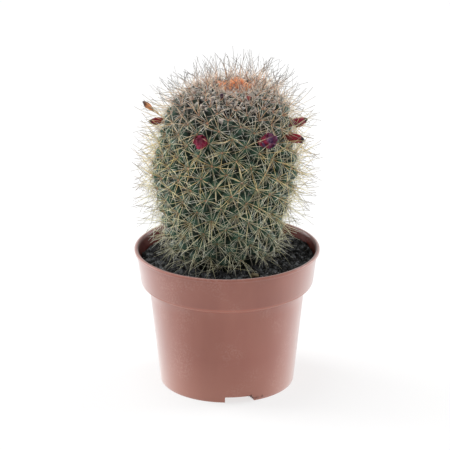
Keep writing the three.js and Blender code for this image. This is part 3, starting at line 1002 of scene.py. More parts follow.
@dataclass
class NurseryPot(Seeded):
    """Thin moulded pot, in mm and degrees.

    The edges of the foot are given as places from its inner and outer radius, with heights.
    Flash is what the mould left at the first notch, and nicks are an azimuth and a size each.
    """

    height: float = 91.0
    wall: float = 1.3
    sides: int = 192
    foot_radius: float = 43.6
    foot_inner_edge: Pairs = ((0.0, 0.5), (0.15, 0.1), (0.4, 0.0))
    foot_outer_edge: Pairs = ((-0.45, 0.0), (-0.1, 0.15))
    foot_band: float = 7.0
    foot_rings: Sequence[float] = (0.6, 2.5, 4.5, 6.25)
    foot_line: Pair = (0.05, 0.4)
    wall_rings: Sequence[float] = tuple(range(9, 65, 7))
    body_top_radius: float = 50.3
    body_top: float = 65.0
    bead_stand: float = 0.6
    bead_middle: float = 0.5
    bead_half: float = 0.42
    bead_top: float = 0.95
    bead_points: int = 7
    bead_sweep: float = 160.0
    cove_gap: Pair = (0.4, 0.25)
    cove_points: int = 10
    shoulder: Pair = (1.6, 1.2)
    shoulder_lift: float = 0.4
    collar_bottom_radius: float = 56.0
    collar_bottom: float = 70.0
    collar_top_radius: float = 58.4
    lip_radius: float = 60.0
    lip_height: float = 2.2
    lip_width: float = 2.2
    lip_shine: Pair = (1.2, 1.5)
    floor_underside: float = 4.2
    notches: int = 3
    notch_first: float = -78.0
    notch_angle: float = 28.0
    notch_height: float = 3.9
    notch_slope: float = 4.6
    notch_round: float = 0.5
    cutter_reach: float = 6.0
    cutter_drop: float = -2.0
    drain_holes: int = 6
    drain_radius: float = 4.5
    drain_ring: float = 28.0
    drain_sides: int = 32
    smooth_below: float = 32.0
    nicks: Pairs = ((-123.0, 0.5), (-101.0, 0.4), (-60.0, 0.3), (35.0, 0.45))
    nick_reach: float = 0.9
    flash_lumps: int = 64
    flash_turn: Pair = (6.2, 19.2)
    flash_stand: Pair = (-0.4, 0.5)
    flash_top: float = 4.2
    flash_fall: float = 7.4
    flash_low: float = 0.6
    flash_width: Pair = (0.3, 0.9)
    flash_length: Pair = (0.9, 2.0)
    flash_finish: CrumbFinish = CrumbFinish("pot_flash", (0.06, 0.022, 0.018), (0.80, 0.50, 0.43), 0.5)
    seed: int = 77

    @property
    def floor(self) -> float:
        """Height of the floor's upper side."""
        return self.floor_underside + self.wall

    def body_radius(self, height: float) -> float:
        """Radius of the outer wall below the collar."""
        share = height / self.body_top
        return self.foot_radius + (self.body_top_radius - self.foot_radius) * share

    def inside(self) -> list[Pair]:
        """Draw the inner side.

        Returns:
            Its radii and heights, from the floor up.
        """
        step = self.body_top + self.wall + self.shoulder_lift
        width, rise = self.shoulder
        return [
            (self.body_radius(self.floor) - self.wall, self.floor),
            (self.body_top_radius - self.wall, step),
            (self.collar_bottom_radius - self.wall - width, step + rise),
            (self.collar_bottom_radius - self.wall, self.collar_bottom + self.wall),
            (self.collar_top_radius - self.wall, self.height - self.lip_height),
        ]

    def outside(self) -> list[Pair]:
        """Draw the outer side.

        Returns:
            Its radii and heights, from the foot's inner edge up to the collar.
        """
        inner, band = self.foot_radius - self.wall, self.foot_band
        depth, drop = self.foot_line
        profile = [(inner + out, height) for out, height in self.foot_inner_edge]
        profile += [(self.foot_radius + out, height) for out, height in self.foot_outer_edge]
        profile += [(self.body_radius(height), height) for height in self.foot_rings]
        profile += [(self.body_radius(band) - depth, band - drop), (self.body_radius(band), band)]
        profile += [(self.body_radius(height), height) for height in self.wall_rings]
        profile.append((self.body_top_radius, self.body_top - 0.15))
        return profile + self.bead() + self.cove()

    def bead(self) -> list[Pair]:
        """Draw the fine bead under the collar.

        Returns:
            Its radii and heights, upwards.
        """
        out, middle = self.body_top_radius, self.body_top + self.bead_middle
        return [
            (out + self.bead_stand * math.cos(angle), middle + self.bead_half * math.sin(angle))
            for angle in turns(-self.bead_sweep / 2, self.bead_sweep / 2, self.bead_points)
        ]

    def cove(self) -> list[Pair]:
        """Draw the hollow curve from the bead out to the collar.

        Returns:
            Its radii and heights, upwards.
        """
        side, gap = self.cove_gap
        out, top = self.collar_bottom_radius, self.collar_bottom
        drop = top - (self.body_top + self.bead_top) - gap
        width = out - self.body_top_radius - self.bead_stand - side
        return [
            (out - width * (1 - math.sin(angle)), top - drop * math.cos(angle))
            for angle in turns(0, 90, self.cove_points)
        ]

    def lip(self) -> list[Pair]:
        """Draw the collar and its rolled lip.

        Returns:
            Their radii and heights, over the top to the inside.
        """
        low, top, out = self.height - self.lip_height, self.height, self.lip_radius
        inner = self.lip_radius - self.lip_width
        return [
            (self.collar_bottom_radius + 0.25, self.collar_bottom + 1.5),
            (self.collar_top_radius - 1.2, low - 9.0),
            (self.collar_top_radius, low - 0.2),
            (self.collar_top_radius + 0.2, low + 0.02),
            (out - 0.6, low + 0.05),
            (out - 0.18, low + 0.2),
            (out, low + 0.55),
            (out, top - 0.75),
            (out - 0.18, top - 0.25),
            (out - 0.62, top),
            (inner + 0.6, top),
            (inner + 0.15, top - 0.2),
            (inner, top - 0.6),
        ]

    def notch_cutter(self, azimuth: float) -> Object:
        """Model a block that cuts one gap in the foot ring.

        Args:
            azimuth: Where the gap's middle stands.

        Returns:
            The block, with one end upright and one sloped.
        """
        deselect_all()
        near, far = self.foot_radius - self.cutter_reach, self.foot_radius + self.cutter_reach
        half = near * math.radians(self.notch_angle) / 2
        bpy.ops.mesh.primitive_cube_add(size=1.0, location=(0, 0, 0))
        block = bpy.context.object
        points = read_points(block)
        for point in points:
            outer, left, upper = point[0] > 0, point[1] < 0, point[2] > 0
            reach = far if outer else near
            end = -1.0 if left else 1.0
            slope = self.notch_slope if upper and not left else 0.0
            height = self.notch_height if upper else self.cutter_drop
            point[:] = (reach, end * half * reach / near - slope, height)
        write_points(block, points * MM)
        with editing(block):
            bpy.ops.mesh.bevel(offset=self.notch_round * MM, segments=2, affect="EDGES")
        block.rotation_euler = (0, 0, math.radians(azimuth))
        return settle(block, "notch_cutter")

    def drain_cutter(self, x: float, y: float) -> Object:
        """Model a round cutter for one drain hole.

        Args:
            x: Its place to the right.
            y: Its place to the back.

        Returns:
            The cutter.
        """
        deselect_all()
        bpy.ops.mesh.primitive_cylinder_add(
            vertices=self.drain_sides,
            radius=self.drain_radius * MM,
            depth=6 * MM,
            location=(x * MM, y * MM, (self.floor_underside + self.wall / 2) * MM),
        )
        return settle(bpy.context.object, "drain_cutter")

    def build(self) -> None:
        """Model the pot, cut its notches and holes, and dress it."""
        profile = [(self.foot_radius - self.wall, self.floor_underside)]
        profile += [*self.outside(), *self.lip(), *reversed(self.inside())]
        profile += [(self.drain_ring + 8.0, self.floor), (0.0, self.floor)]
        pot = turn_rings("pot_shell", [(r, z, 0.0) for r, z in profile], self.sides)
        self.raise_nicks(pot)
        cutters = [
            self.notch_cutter(self.notch_first + i * 360 / self.notches)
            for i in range(self.notches)
        ]
        for i in range(self.drain_holes):
            angle = i * 2 * math.pi / self.drain_holes
            x, y = self.drain_ring * math.cos(angle), self.drain_ring * math.sin(angle)
            cutters.append(self.drain_cutter(x, y))
        cutters.append(self.drain_cutter(0.0, 0.0))
        cut_out(pot, cutters)
        self.mark_sides(pot)
        smooth(pot, self.smooth_below)
        self.fray_notch()
        dress(pot, Slot.POT, PotPlasticFinish().material(), "pot")

    def raise_nicks(self, pot: Object) -> None:
        """Raise a few moulding nicks on the bead.

        Args:
            pot: The turned pot.
        """
        points = read_points(pot)
        for azimuth, size in self.nicks:
            angle = math.radians(azimuth)
            way = np.array([math.cos(angle), math.sin(angle), 0.0])
            place = way * (self.body_top_radius + self.bead_middle)
            centre = (place + UPWARD * (self.body_top + self.bead_middle)) * MM
            reach = np.linalg.norm(points - centre, axis=1) / MM
            points += way * (size * np.exp(-((reach / self.nick_reach) ** 2)) * MM)[:, None]
        write_points(pot, points)

    def mark_sides(self, pot: Object) -> None:
        """Mark painted shade inside, half as dark on the lip's top, and a painted highlight on bead and
        cove.

        Args:
            pot: The cut pot.
        """
        points = read_points(pot) / MM
        reach, height = np.hypot(points[:, 0], points[:, 1]), points[:, 2]
        radii, heights = zip(*sorted(self.inside(), key=lambda pair: pair[1]))
        inner = np.interp(height, heights, radii)
        shine, depth = self.lip_shine
        top = height > self.height - depth
        # painted shade on the inner wall, and half of it on the inner part of the lip's top
        painted_shade_wall = (reach < inner + 0.25) & (height > self.floor - 0.1) & ~top
        painted_shade_ledge = (reach < self.lip_radius - shine) & top
        write_mark(pot, "inner", painted_shade_wall + 0.5 * painted_shade_ledge)
        # painted highlight: the bead and the cove above it are painted paler
        cove = (reach > self.body_top_radius + 0.7) & (height < self.collar_bottom - 1.2)
        rise = height - self.body_top
        bead = (reach > self.body_top_radius + 0.05) & (rise > -0.1) & (rise < 1.0)
        write_mark(pot, "edge", np.maximum(0.5 * bead, 0.45 * cove))

    def fray_notch(self) -> None:
        """Leave ragged moulding flash on the sloped end of the first notch and beside it."""
        count = self.flash_lumps
        along = np.linspace(0.0, 1.0, count)
        turn = self.notch_first + between(self.flash_turn, along) + self.rng.normal(0, 0.7, count)
        radius = self.foot_radius + self.rng.uniform(*self.flash_stand, count)
        beside = smoothstep(along, 0.4, 0.6)
        height = np.maximum(self.flash_top - self.flash_fall * along, self.flash_low)
        height += self.rng.uniform(0, 0.5 + 1.5 * beside)
        root = polar(radius, np.radians(turn), height)
        width = self.rng.uniform(*self.flash_width, count) * (1 - 0.3 * beside)
        way = unit(self.rng.normal(0, 1, (count, 3)))
        way[:, 2] = np.abs(way[:, 2])
        length = width * self.rng.uniform(*self.flash_length, count)
        seats = Seats(root * MM, way, width * MM, length * MM)
        seats.marks["hue"] = np.clip(self.rng.random(count) + 0.4 * beside - 0.2, 0, 1)
        flash = plant("notch_flash", uneven_lump(), seats)
        keep_in_box(flash)
        dress(flash, Slot.POT, self.flash_finish.material())


@dataclass(frozen=True)
class Litter:
    """One kind of loose bit on the peat: its number, widths and height above it, in mm."""

    name: str
    count: int
    width: Pair
    lift: float
    finish: CrumbFinish


@dataclass
class PeatBed(Seeded):
    """The peat that fills the pot, in mm: a crumbly surface, loose crumbs, fibres and grit."""

    pot: NurseryPot
    gap: float = 0.3
    level: float = 83.4
    slope: float = 0.032
    relief: float = 0.7
    roughness: float = 0.28
    sides: int = 160
    top_rings: int = 30
    stem_x: float = -3.0
    hole_top: float = 25.3
    hole_bottom: float = 18.3
    hole_floor: float = 65.7
    litter: Sequence[Litter] = (
        Litter("peat_crumbs", 3600, (0.7, 3.6), 0.1,
               CrumbFinish("peat_crumb", (0.006, 0.006, 0.006), (0.34, 0.36, 0.38))),
        Litter("peat_grit", 320, (0.35, 0.9), 0.5,
               CrumbFinish("peat_grit_pale", (0.13, 0.13, 0.13), (0.42, 0.43, 0.44))),
    )
    litter_length: Pair = (0.6, 2.4)
    litter_margin: float = 1.4
    fibres: int = 900
    fibre_length: Pair = (2.0, 6.5)
    fibre_width: Pair = (0.06, 0.26)
    fibre_sag: float = 0.35
    fibre_margin: float = 4.0
    fibre_finish: CrumbFinish = CrumbFinish("peat_fibre", (0.02, 0.021, 0.023), (0.34, 0.36, 0.38))
    chip_place: Pair = (17.5, -37.5)
    chip_lift: float = 1.5
    chip_size: Ring = (4.6, 2.6, 3.0)
    chip_turn: Ring = (0.5, 0.3, 0.35)
    chip_round: float = 0.45
    chip_wear: float = 0.22
    chip_tone: float = 0.8
    chip_finish: CrumbFinish = CrumbFinish("bark_tan", (0.11, 0.085, 0.045), (0.34, 0.29, 0.17))
    seed: int = 411

    def height(self, x: Array, y: Array) -> Array:
        """Find the height of the surface, before its finest grain.

        Args:
            x: Places to the right, in mm.
            y: Places to the back.

        Returns:
            Their heights.
        """
        lumps = np.sin(x * 0.83 + 1.7 * np.sin(y * 0.31)) * np.cos(y * 0.71 - x * 0.19)
        grain = np.sin(x * 1.93 - y * 1.37) * np.sin(y * 2.11 + x * 0.57)
        return self.level + self.slope * x + self.relief * (0.6 * lumps + 0.4 * grain)

    def top_radius(self) -> float:
        """Radius of the surface where it meets the pot's wall."""
        (low_r, low_z), (high_r, high_z) = self.pot.inside()[-2:]
        return low_r + (high_r - low_r) * (self.level - low_z) / (high_z - low_z) - self.gap

    def build(self) -> None:
        """Model the bed and scatter what lies on it."""
        bed = turn_rings("peat_bed", self.rings(), self.sides)
        points = read_points(bed) / MM
        top = points[:, 2] > self.level - 0.01
        x, y = points[top, 0], points[top, 1]
        from_wall = smoothstep(self.top_radius() - np.hypot(x, y), 0.0, 2.0)
        points[top, 2] = self.height(x, y) + self.rng.normal(0, self.roughness, top.sum()) * from_wall
        write_points(bed, points * MM)
        smooth(bed)
        dress(bed, Slot.PEAT, PeatFinish().material(), "soil")
        self.scatter_litter()
        self.scatter_fibres()
        self.lay_chip()

    def rings(self) -> list[Ring]:
        """Lay out the rings of the bed.

        Returns:
            The rings: up the pot's wall, in over the surface and down the stem's hole.
        """
        side = [pair for pair in self.pot.inside() if pair[1] < self.level - 2]
        rings = [(radius - self.gap, height, 0.0) for radius, height in side]
        rings[0] = (rings[0][0], rings[0][1] + self.gap, 0.0)
        outer = self.top_radius()
        for i in range(self.top_rings + 1):
            inward = i / self.top_rings
            radius = outer + (self.hole_top - outer) * inward
            rings.append((radius, self.level, self.stem_x * inward))
        rings += [(radius, self.hole_floor, self.stem_x) for radius in (self.hole_bottom, 0.0)]
        return rings

    def spots(self, count: int, margin: float) -> tuple[Array, Array, Array]:
        """Draw random places on the open surface, in mm.

        Args:
            count: How many.
            margin: How far they keep from the pot's wall.

        Returns:
            Their three coordinates.
        """
        outer, inner = self.top_radius() - margin, self.hole_top + 0.5
        radius = np.sqrt(self.rng.uniform(inner**2, outer**2, count))
        angle = self.rng.uniform(0, 2 * np.pi, count)
        x, y = radius * np.cos(angle), radius * np.sin(angle)
        x = x + self.stem_x * (outer - radius) / (outer - inner)
        return x, y, self.height(x, y)

    def scatter_litter(self) -> None:
        """Lay dark crumbs and pale grit on the surface."""
        pattern = uneven_lump()
        for kind in self.litter:
            width = between(kind.width, self.rng.random(kind.count) ** 2.5)
            x, y, z = self.spots(kind.count, self.litter_margin)
            way = unit(self.rng.normal(0, 1, (kind.count, 3)) * [1, 1, 0.45])
            length = width * self.rng.uniform(*self.litter_length, kind.count)
            root = np.stack([x, y, z + kind.lift], 1) - scaled(way, length / 2)
            seats = Seats(root * MM, way, width * MM, length * MM)
            seats.marks["hue"] = self.rng.random(kind.count) ** 2.0
            dress(plant(kind.name, pattern, seats), Slot.PEAT, kind.finish.material())

    def scatter_fibres(self) -> None:
        """Lay grey and tan root fibres, bent over the crumbs."""
        count = self.fibres
        x, y, z = self.spots(count, self.fibre_margin)
        flat = [self.rng.normal(0, 1, count), self.rng.normal(0, 1, count)]
        way = unit(np.stack([*flat, self.rng.uniform(-0.05, 0.3, count)], 1))
        length = self.rng.uniform(*self.fibre_length, count)
        bow = scaled(unit(self.rng.normal(0, 1, (count, 3))), length * self.fibre_sag)
        bow[:, 2] = -np.abs(bow[:, 2])
        root = np.stack([x, y, z + 0.5], 1) - scaled(way, length / 2)
        end = root + scaled(way, length)
        limit = self.top_radius() - 1
        kept = (np.hypot(*end.T[:2]) < limit) & (np.hypot(*root.T[:2]) < limit)
        width = self.rng.uniform(*self.fibre_width, count)
        seats = Seats(root * MM, way, width * MM, length * MM, bow=bow * MM)
        seats.marks["hue"] = self.rng.random(count)
        fibre = Pattern.lifted(cut_rod(3, 0.5, (0.25, 0.5, 0.75)))
        piece = plant("peat_fibres", fibre, seats.only(kept))
        dress(piece, Slot.PEAT, self.fibre_finish.material())

    def lay_chip(self) -> None:
        """Lay a small tan bark chip in front of the stem."""
        x, y = self.chip_place
        z = float(self.height(np.array([x]), np.array([y]))[0]) + self.chip_lift
        deselect_all()
        bpy.ops.mesh.primitive_cube_add(size=1.0, location=(x * MM, y * MM, z * MM))
        chip = bpy.context.object
        chip.scale = Vector(self.chip_size) * MM
        chip.rotation_euler = self.chip_turn
        settle(chip, "bark_chip")
        with editing(chip):
            bpy.ops.mesh.bevel(offset=self.chip_round * MM, segments=2, affect="EDGES")
            bpy.ops.mesh.select_all(action="SELECT")
            bpy.ops.mesh.subdivide(number_cuts=2)
            bpy.ops.transform.vertex_random(offset=self.chip_wear * MM, seed=3)
        smooth(chip)
        write_mark(chip, "hue", self.chip_tone)
        dress(chip, Slot.PEAT, self.chip_finish.material())


# The stem


@dataclass
class Tubercles:
    """The tubercles from the crown down, one row each, in metres: tip, directions, cell, place."""

    tip: Array
    normal: Array
    side: Array
    cell: Array
    arc: Array

    @property
    def up(self) -> Array:
        """Directions along the stem towards the crown."""
        return np.cross(self.normal, self.side)

    @property
    def height(self) -> Array:
        """Heights of the tips, in mm."""
        return self.tip[:, 2] / MM

    def outward(self, owner: Array, angle: Array) -> Array:
        """Directions over the stem away from some tips, at angles in radians round them."""
        return scaled(self.side[owner], np.cos(angle)) + scaled(self.up[owner], np.sin(angle))

    def grown_above(self, height: float) -> "Tubercles":
        """The tubercles whose tips stand above a height in mm."""
        kept = self.height > height
        return Tubercles(*(values[kept] for values in vars(self).values()))


@dataclass
class StemForm:
    """The surface through the tubercles' tips, in mm, on a leaning centre line.

    The outline gives radius and height from the crown down to the buried foot. A cell is the
    area of skin that one tubercle takes.
    """

    outline: Pairs = (
        (0, 198.2), (6, 198.8), (12, 199.9), (19, 199.8), (27, 196.4), (34, 190.8), (39, 183.5),
        (42.3, 172.5), (44.6, 159), (46.8, 146), (45.9, 136), (43.6, 127), (41.2, 118),
        (39.6, 109), (37.4, 100), (35, 93.5), (31.5, 88), (27, 83), (24, 72),
    )
    steps: int = 600
    lowest_tubercle: float = 88.0
    foot_x: float = -3.0
    lean: float = 5.5
    lean_from: float = 83.0
    lean_over: float = 118.0
    crown_aside: float = 3.5
    crown_aside_over: Pair = (9.0, 36.0)
    golden_angle: float = -math.pi * (3 - math.sqrt(5))
    start_azimuth: float = math.radians(-8)
    first_tubercle: float = 12.5
    crown_cell: float = 26.0
    stem_cell: float = 127.0
    growth_length: float = 34.0
    dip_radius: float = 10.0
    dip_depth: float = 1.6

    @property
    def dip(self) -> float:
        """Height of the bottom of the dip in the crown."""
        return self.outline[0][1] - 2 * self.dip_depth

    def centre_x(self, height: float) -> float:
        """How far the centre line stands from the pot's axis at a height."""
        climb = max(0.0, height - self.lean_from) / self.lean_over
        return self.foot_x + self.lean * climb * climb

    def row_x(self, height: float, arc: float) -> float:
        """The centre of a row of tubercles: at the crown it stands aside of the centre line."""
        aside = 1 - float(smoothstep(arc, *self.crown_aside_over))
        return self.centre_x(height) + self.crown_aside * aside

    def meridian(self) -> Array:
        """Draw a smooth curve through the outline.

        Returns:
            Rows of radius, height and arc length from the crown, in mm.
        """
        knots = np.array(self.outline, float)
        last = len(knots) - 1
        samples = []
        for step in range(self.steps + 1):
            place = last * step / self.steps
            i = min(int(place), last - 1)
            t = place - i
            p0, p1, p2 = knots[max(i - 1, 0)], knots[i], knots[i + 1]
            p3 = knots[min(i + 2, last)]
            v0, v1 = (p2 - p0) / 2, (p3 - p1) / 2
            samples.append(
                (2 * p1 - 2 * p2 + v0 + v1) * t**3
                + (-3 * p1 + 3 * p2 - 2 * v0 - v1) * t * t + v0 * t + p1
            )
        curve = np.array(samples)
        arc = np.concatenate([[0], np.cumsum(np.linalg.norm(np.diff(curve, axis=0), axis=1))])
        return np.column_stack([curve, arc])

    def cell_area(self, arc: float) -> float:
        """Area of skin that one tubercle takes, at an arc length from the crown."""
        past = max(0.0, arc - self.first_tubercle) / self.growth_length
        return self.crown_cell + (self.stem_cell - self.crown_cell) * (1 - math.exp(-(past**1.5)))

    def tubercles(self) -> Tubercles:
        """Place every tubercle of the spiral, also those below the soil.

        Returns:
            The tubercles, from the crown down.
        """
        table = self.meridian()
        rows, count = [], 0.5
        for (r0, z0, a0), (r, z, arc) in zip(table[:-1], table[1:]):
            if arc < self.first_tubercle:
                continue
            count += 2 * math.pi * r * (arc - a0) / self.cell_area(arc)
            if count < 1:
                continue
            count -= 1
            azimuth = self.start_azimuth + len(rows) * self.golden_angle
            cos, sin = math.cos(azimuth), math.sin(azimuth)
            slope = np.array([r - r0, z - z0]) / math.hypot(r - r0, z - z0)
            tip = (self.row_x(z, arc) + r * cos, r * sin, z)
            normal = (-slope[1] * cos, -slope[1] * sin, slope[0])
            rows.append((*tip, *normal, -sin, cos, 0.0, math.sqrt(self.cell_area(arc)), arc))
        data = np.array(rows)
        return Tubercles(
            data[:, 0:3] * MM, unit(data[:, 3:6]), data[:, 6:9], data[:, 9] * MM, data[:, 10] * MM
        )


@dataclass
class StemBody(Seeded):
    """The green stem, in mm and in shares of a tubercle's cell.

    A tubercle's profile gives radius and depth below its tip, from its foot up.
    """

    form: StemForm
    tubercles: Tubercles
    sides: int = 96
    core_depth: float = 0.48
    core_ring_steps: int = 7
    core_tuck: float = 0.6
    buried: Pairs = ((18.0, 66.0), (25.0, 85.8))
    profile: Pairs = (
        (0.66, -0.60), (0.56, -0.48), (0.47, -0.37), (0.395, -0.26), (0.32, -0.15),
        (0.23, -0.06), (0.12, -0.015),
    )
    tubercle_sides: int = 12
    size_spread: Pair = (0.96, 1.04)
    most_rise: float = 0.05
    seed: int = 97

    def build(self) -> None:
        """Model the core and the tubercles on it."""
        core = turn_rings("stem_core", self.core_rings(), self.sides)
        smooth(core)
        # the core takes the axil colour: painted shade between the tubercles
        write_mark(core, "along", 0.0)
        skin = StemSkinFinish().material()
        dress(core, Slot.STEM, skin, "cactus")
        some = self.tubercles
        count = len(some.cell)
        size = some.cell * self.rng.uniform(*self.size_spread, count)
        rise = scaled(some.up, self.rng.uniform(0.0, self.most_rise, count) * some.cell)
        height = size * -self.profile[0][1]
        root = some.tip - scaled(some.normal, height)
        seats = Seats(root, some.normal, size, height, side=some.side, bow=rise)
        dress(plant("stem_tubercles", self.tubercle(), seats), Slot.STEM, skin)

    def core_rings(self) -> list[Ring]:
        """Lay out the rings of the core.

        Returns:
            The rings, from the buried foot up to the dip in the crown.
        """
        form = self.form
        table = form.meridian()
        rows = []
        for k in range(1, len(table), self.core_ring_steps):
            (r0, z0, _), (r, z, arc) = table[k - 1], table[k]
            if z < self.buried[1][1] + 2 or arc < form.first_tubercle:
                continue
            slope = np.array([r - r0, z - z0]) / math.hypot(r - r0, z - z0)
            depth = self.core_depth * math.sqrt(form.cell_area(arc))
            rows.append((r + slope[1] * depth, z - slope[0] * depth, form.row_x(z, arc)))
        middle, low = form.row_x(form.dip, 0.0), form.dip - self.core_tuck
        rings = [(radius, height, form.foot_x) for radius, height in self.buried]
        return rings + rows[::-1] + [
            (form.dip_radius, low + form.dip_depth, middle), (0.0, low, middle)
        ]

    def tubercle(self) -> Pattern:
        """Model a rounded cone.

        Returns:
            The cone, from its wide foot at 0 to its tip at 1.
        """
        deselect_all()
        low = self.profile[0][1]
        rings = [(radius, 1 - height / low, 0.0) for radius, height in self.profile]
        bpy.ops.mesh.primitive_circle_add(
            vertices=self.tubercle_sides, radius=rings[0][0], fill_type="NOTHING", location=(0, 0, 0)
        )
        cone = bpy.context.object
        with editing(cone):
            for last, ring in zip(rings[:-1], rings[1:]):
                extrude_ring(last, ring)
            extrude_ring(rings[-1], (rings[-1][0], 1.0, 0.0))
            bpy.ops.mesh.merge(type="CENTER")
            bpy.ops.mesh.select_all(action="SELECT")
            bpy.ops.mesh.normals_make_consistent(inside=False)
        return Pattern.lifted(cone)


# Spines and wool


@dataclass
class Bloom:
    """The bent axis of a flower or bud, read from its CAD node, in metres."""

    node: str
    root: Array
    way: Array
    length: float
    width: float
    bow: Array

    @classmethod
    def of(cls, node: str) -> "Bloom":
        """Find the bent axis of a node, pointing out of the stem.

        Args:
            node: Name of the CAD node.

        Returns:
            The chord of the axis, and how far its middle stands off the chord.
        """
        points = np.unique(np.round(read_points(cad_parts[node]), 7), axis=0)
        middle = points.mean(0)
        way = np.linalg.svd(points - middle)[2][0]
        outward = middle * [1.0, 1.0, 0.0] + UPWARD * 20 * MM
        way = way if way @ outward > 0 else -way
        along = (points - middle) @ way
        foot = points[along < along.min() + 1.0 * MM].mean(0)
        end = points[along > along.max() - 1.5 * MM].mean(0)
        way = unit(end - foot)
        along = (points - foot) @ way
        length = float(along.max())
        off = points - foot - np.outer(along, way)
        share = along / length
        bow = off[(share > 0.38) & (share < 0.62)].mean(0)
        off -= np.outer(4 * share * (1 - share), bow)
        return cls(node, foot, way, length, 2 * float(np.linalg.norm(off, axis=1).max()), bow)

    def line(self, along: Array) -> Array:
        """Points of the bent axis at distances along its chord."""
        share = along / self.length
        return self.root + np.outer(along, self.way) + np.outer(4 * share * (1 - share), self.bow)


@dataclass
class FreeSpace:
    """What spines and hairs keep clear of: box, peat, pot wall and flowers. Sizes in mm.

    A flower takes up the part of its half width that bloom_room gives at the shares of its
    length in bloom_places.
    """

    peat: PeatBed
    blooms: Sequence[Bloom]
    margin: float = 0.25
    rim_reach: float = 55.6
    rim_height: float = 92.0
    soil_clear: float = 0.6
    bloom_places: Sequence[float] = (0.0, 0.2, 0.5, 1.0)
    bloom_room: Sequence[float] = (0.3, 0.4, 0.85, 0.7)
    bloom_clear: float = 0.12
    tested: Sequence[float] = (0.3, 0.65, 1.0)

    def allows(self, seats: Seats) -> Array:
        """Find the copies that stay clear.

        Args:
            seats: Their seats.

        Returns:
            True or false for each.
        """
        good = np.ones(len(seats.root), bool)
        low = np.array(CAD_BOX[0]) + self.margin * MM
        high = np.array(CAD_BOX[1]) - self.margin * MM
        for share in self.tested:
            points = seats.end(share)
            good &= np.all((points > low) & (points < high), axis=1)
            x, y, z = points.T / MM
            good &= z > self.peat.height(x, y) + self.soil_clear
            good &= (z > self.rim_height) | (np.hypot(x, y) < self.rim_reach)
            for bloom in self.blooms:
                along = np.clip((points - bloom.root) @ bloom.way, 0, bloom.length)
                near = np.linalg.norm(points - bloom.line(along), axis=1)
                room = np.interp(along / bloom.length, self.bloom_places, self.bloom_room)
                good &= near > bloom.width / 2 * room + self.bloom_clear * MM
        return good


@dataclass(frozen=True)
class SpineKind:
    """One kind of spine, sizes in mm and angles in degrees from the tubercle's axis.

    crown_room is the smallest share of the full count that a young tubercle carries.
    """

    name: str
    finish: SpineFinish
    count: int
    spread: Pair
    crown_spread: Pair
    length: Pair
    crown_length: Pair
    width: float
    sides: int
    cuts: Sequence[float]
    bow: float
    crown_width: float
    crown_room: float
    tries: int = 14

    def pattern(self) -> Pattern:
        """Model a slim tapered spine, cut across so that it can bend.

        Returns:
            The spine, one unit long.
        """
        spine = cut_rod(self.sides, 1.0, self.cuts)
        points = read_points(spine)
        slim = np.interp(points[:, 2], (0.0, 0.3, 0.67, 1.0), (1.0, 0.95, 0.76, 0.32))
        points[:, :2] *= slim[:, None]
        write_points(spine, points)
        return Pattern.lifted(spine)


RADIAL_SPINES = SpineKind(
    name="radial_spines",
    finish=SpineFinish(
        "spine_radial",
        body=((0.0, (0.40, 0.26, 0.12)), (0.15, (0.70, 0.67, 0.48)),
              (0.6, (0.86, 0.88, 0.74)), (1.0, (0.87, 0.88, 0.80))),
        crown=((0.0, (0.24, 0.11, 0.08)), (0.2, (0.80, 0.72, 0.66)), (1.0, (0.95, 0.92, 0.89))),
        young=((0.0, (0.55, 0.20, 0.08)), (0.4, (0.84, 0.56, 0.38)), (1.0, (0.88, 0.80, 0.74))),
    ),
    count=13, spread=(58, 90), crown_spread=(35, 84), length=(5.5, 11.5), crown_length=(3.5, 8.5),
    width=0.106, sides=3, cuts=(0.33, 0.67), bow=0.12, crown_width=0.16, crown_room=0.38,
)
CENTRAL_SPINES = SpineKind(
    name="central_spines",
    finish=SpineFinish(
        "spine_central",
        body=((0.0, (0.30, 0.13, 0.05)), (0.13, (0.62, 0.42, 0.17)), (0.36, (0.92, 0.87, 0.53)),
              (0.62, (0.84, 0.81, 0.55)), (0.84, (0.38, 0.33, 0.27)), (1.0, (0.12, 0.09, 0.07))),
        crown=((0.0, (0.28, 0.07, 0.03)), (0.13, (0.70, 0.34, 0.19)), (0.33, (0.84, 0.62, 0.48)),
               (0.6, (0.36, 0.29, 0.26)), (0.8, (0.09, 0.07, 0.07)), (1.0, (0.03, 0.03, 0.03))),
        young=((0.0, (0.46, 0.11, 0.03)), (0.3, (0.84, 0.36, 0.14)), (0.5, (0.66, 0.38, 0.24)),
               (0.72, (0.20, 0.15, 0.14)), (1.0, (0.04, 0.03, 0.03))),
        gilding=0.75,
    ),
    count=7, spread=(6, 74), crown_spread=(4, 54), length=(12.0, 22.0), crown_length=(9.0, 20.0),
    width=0.13, sides=4, cuts=(0.25, 0.5, 0.75), bow=0.17, crown_width=0.0, crown_room=0.66,
)


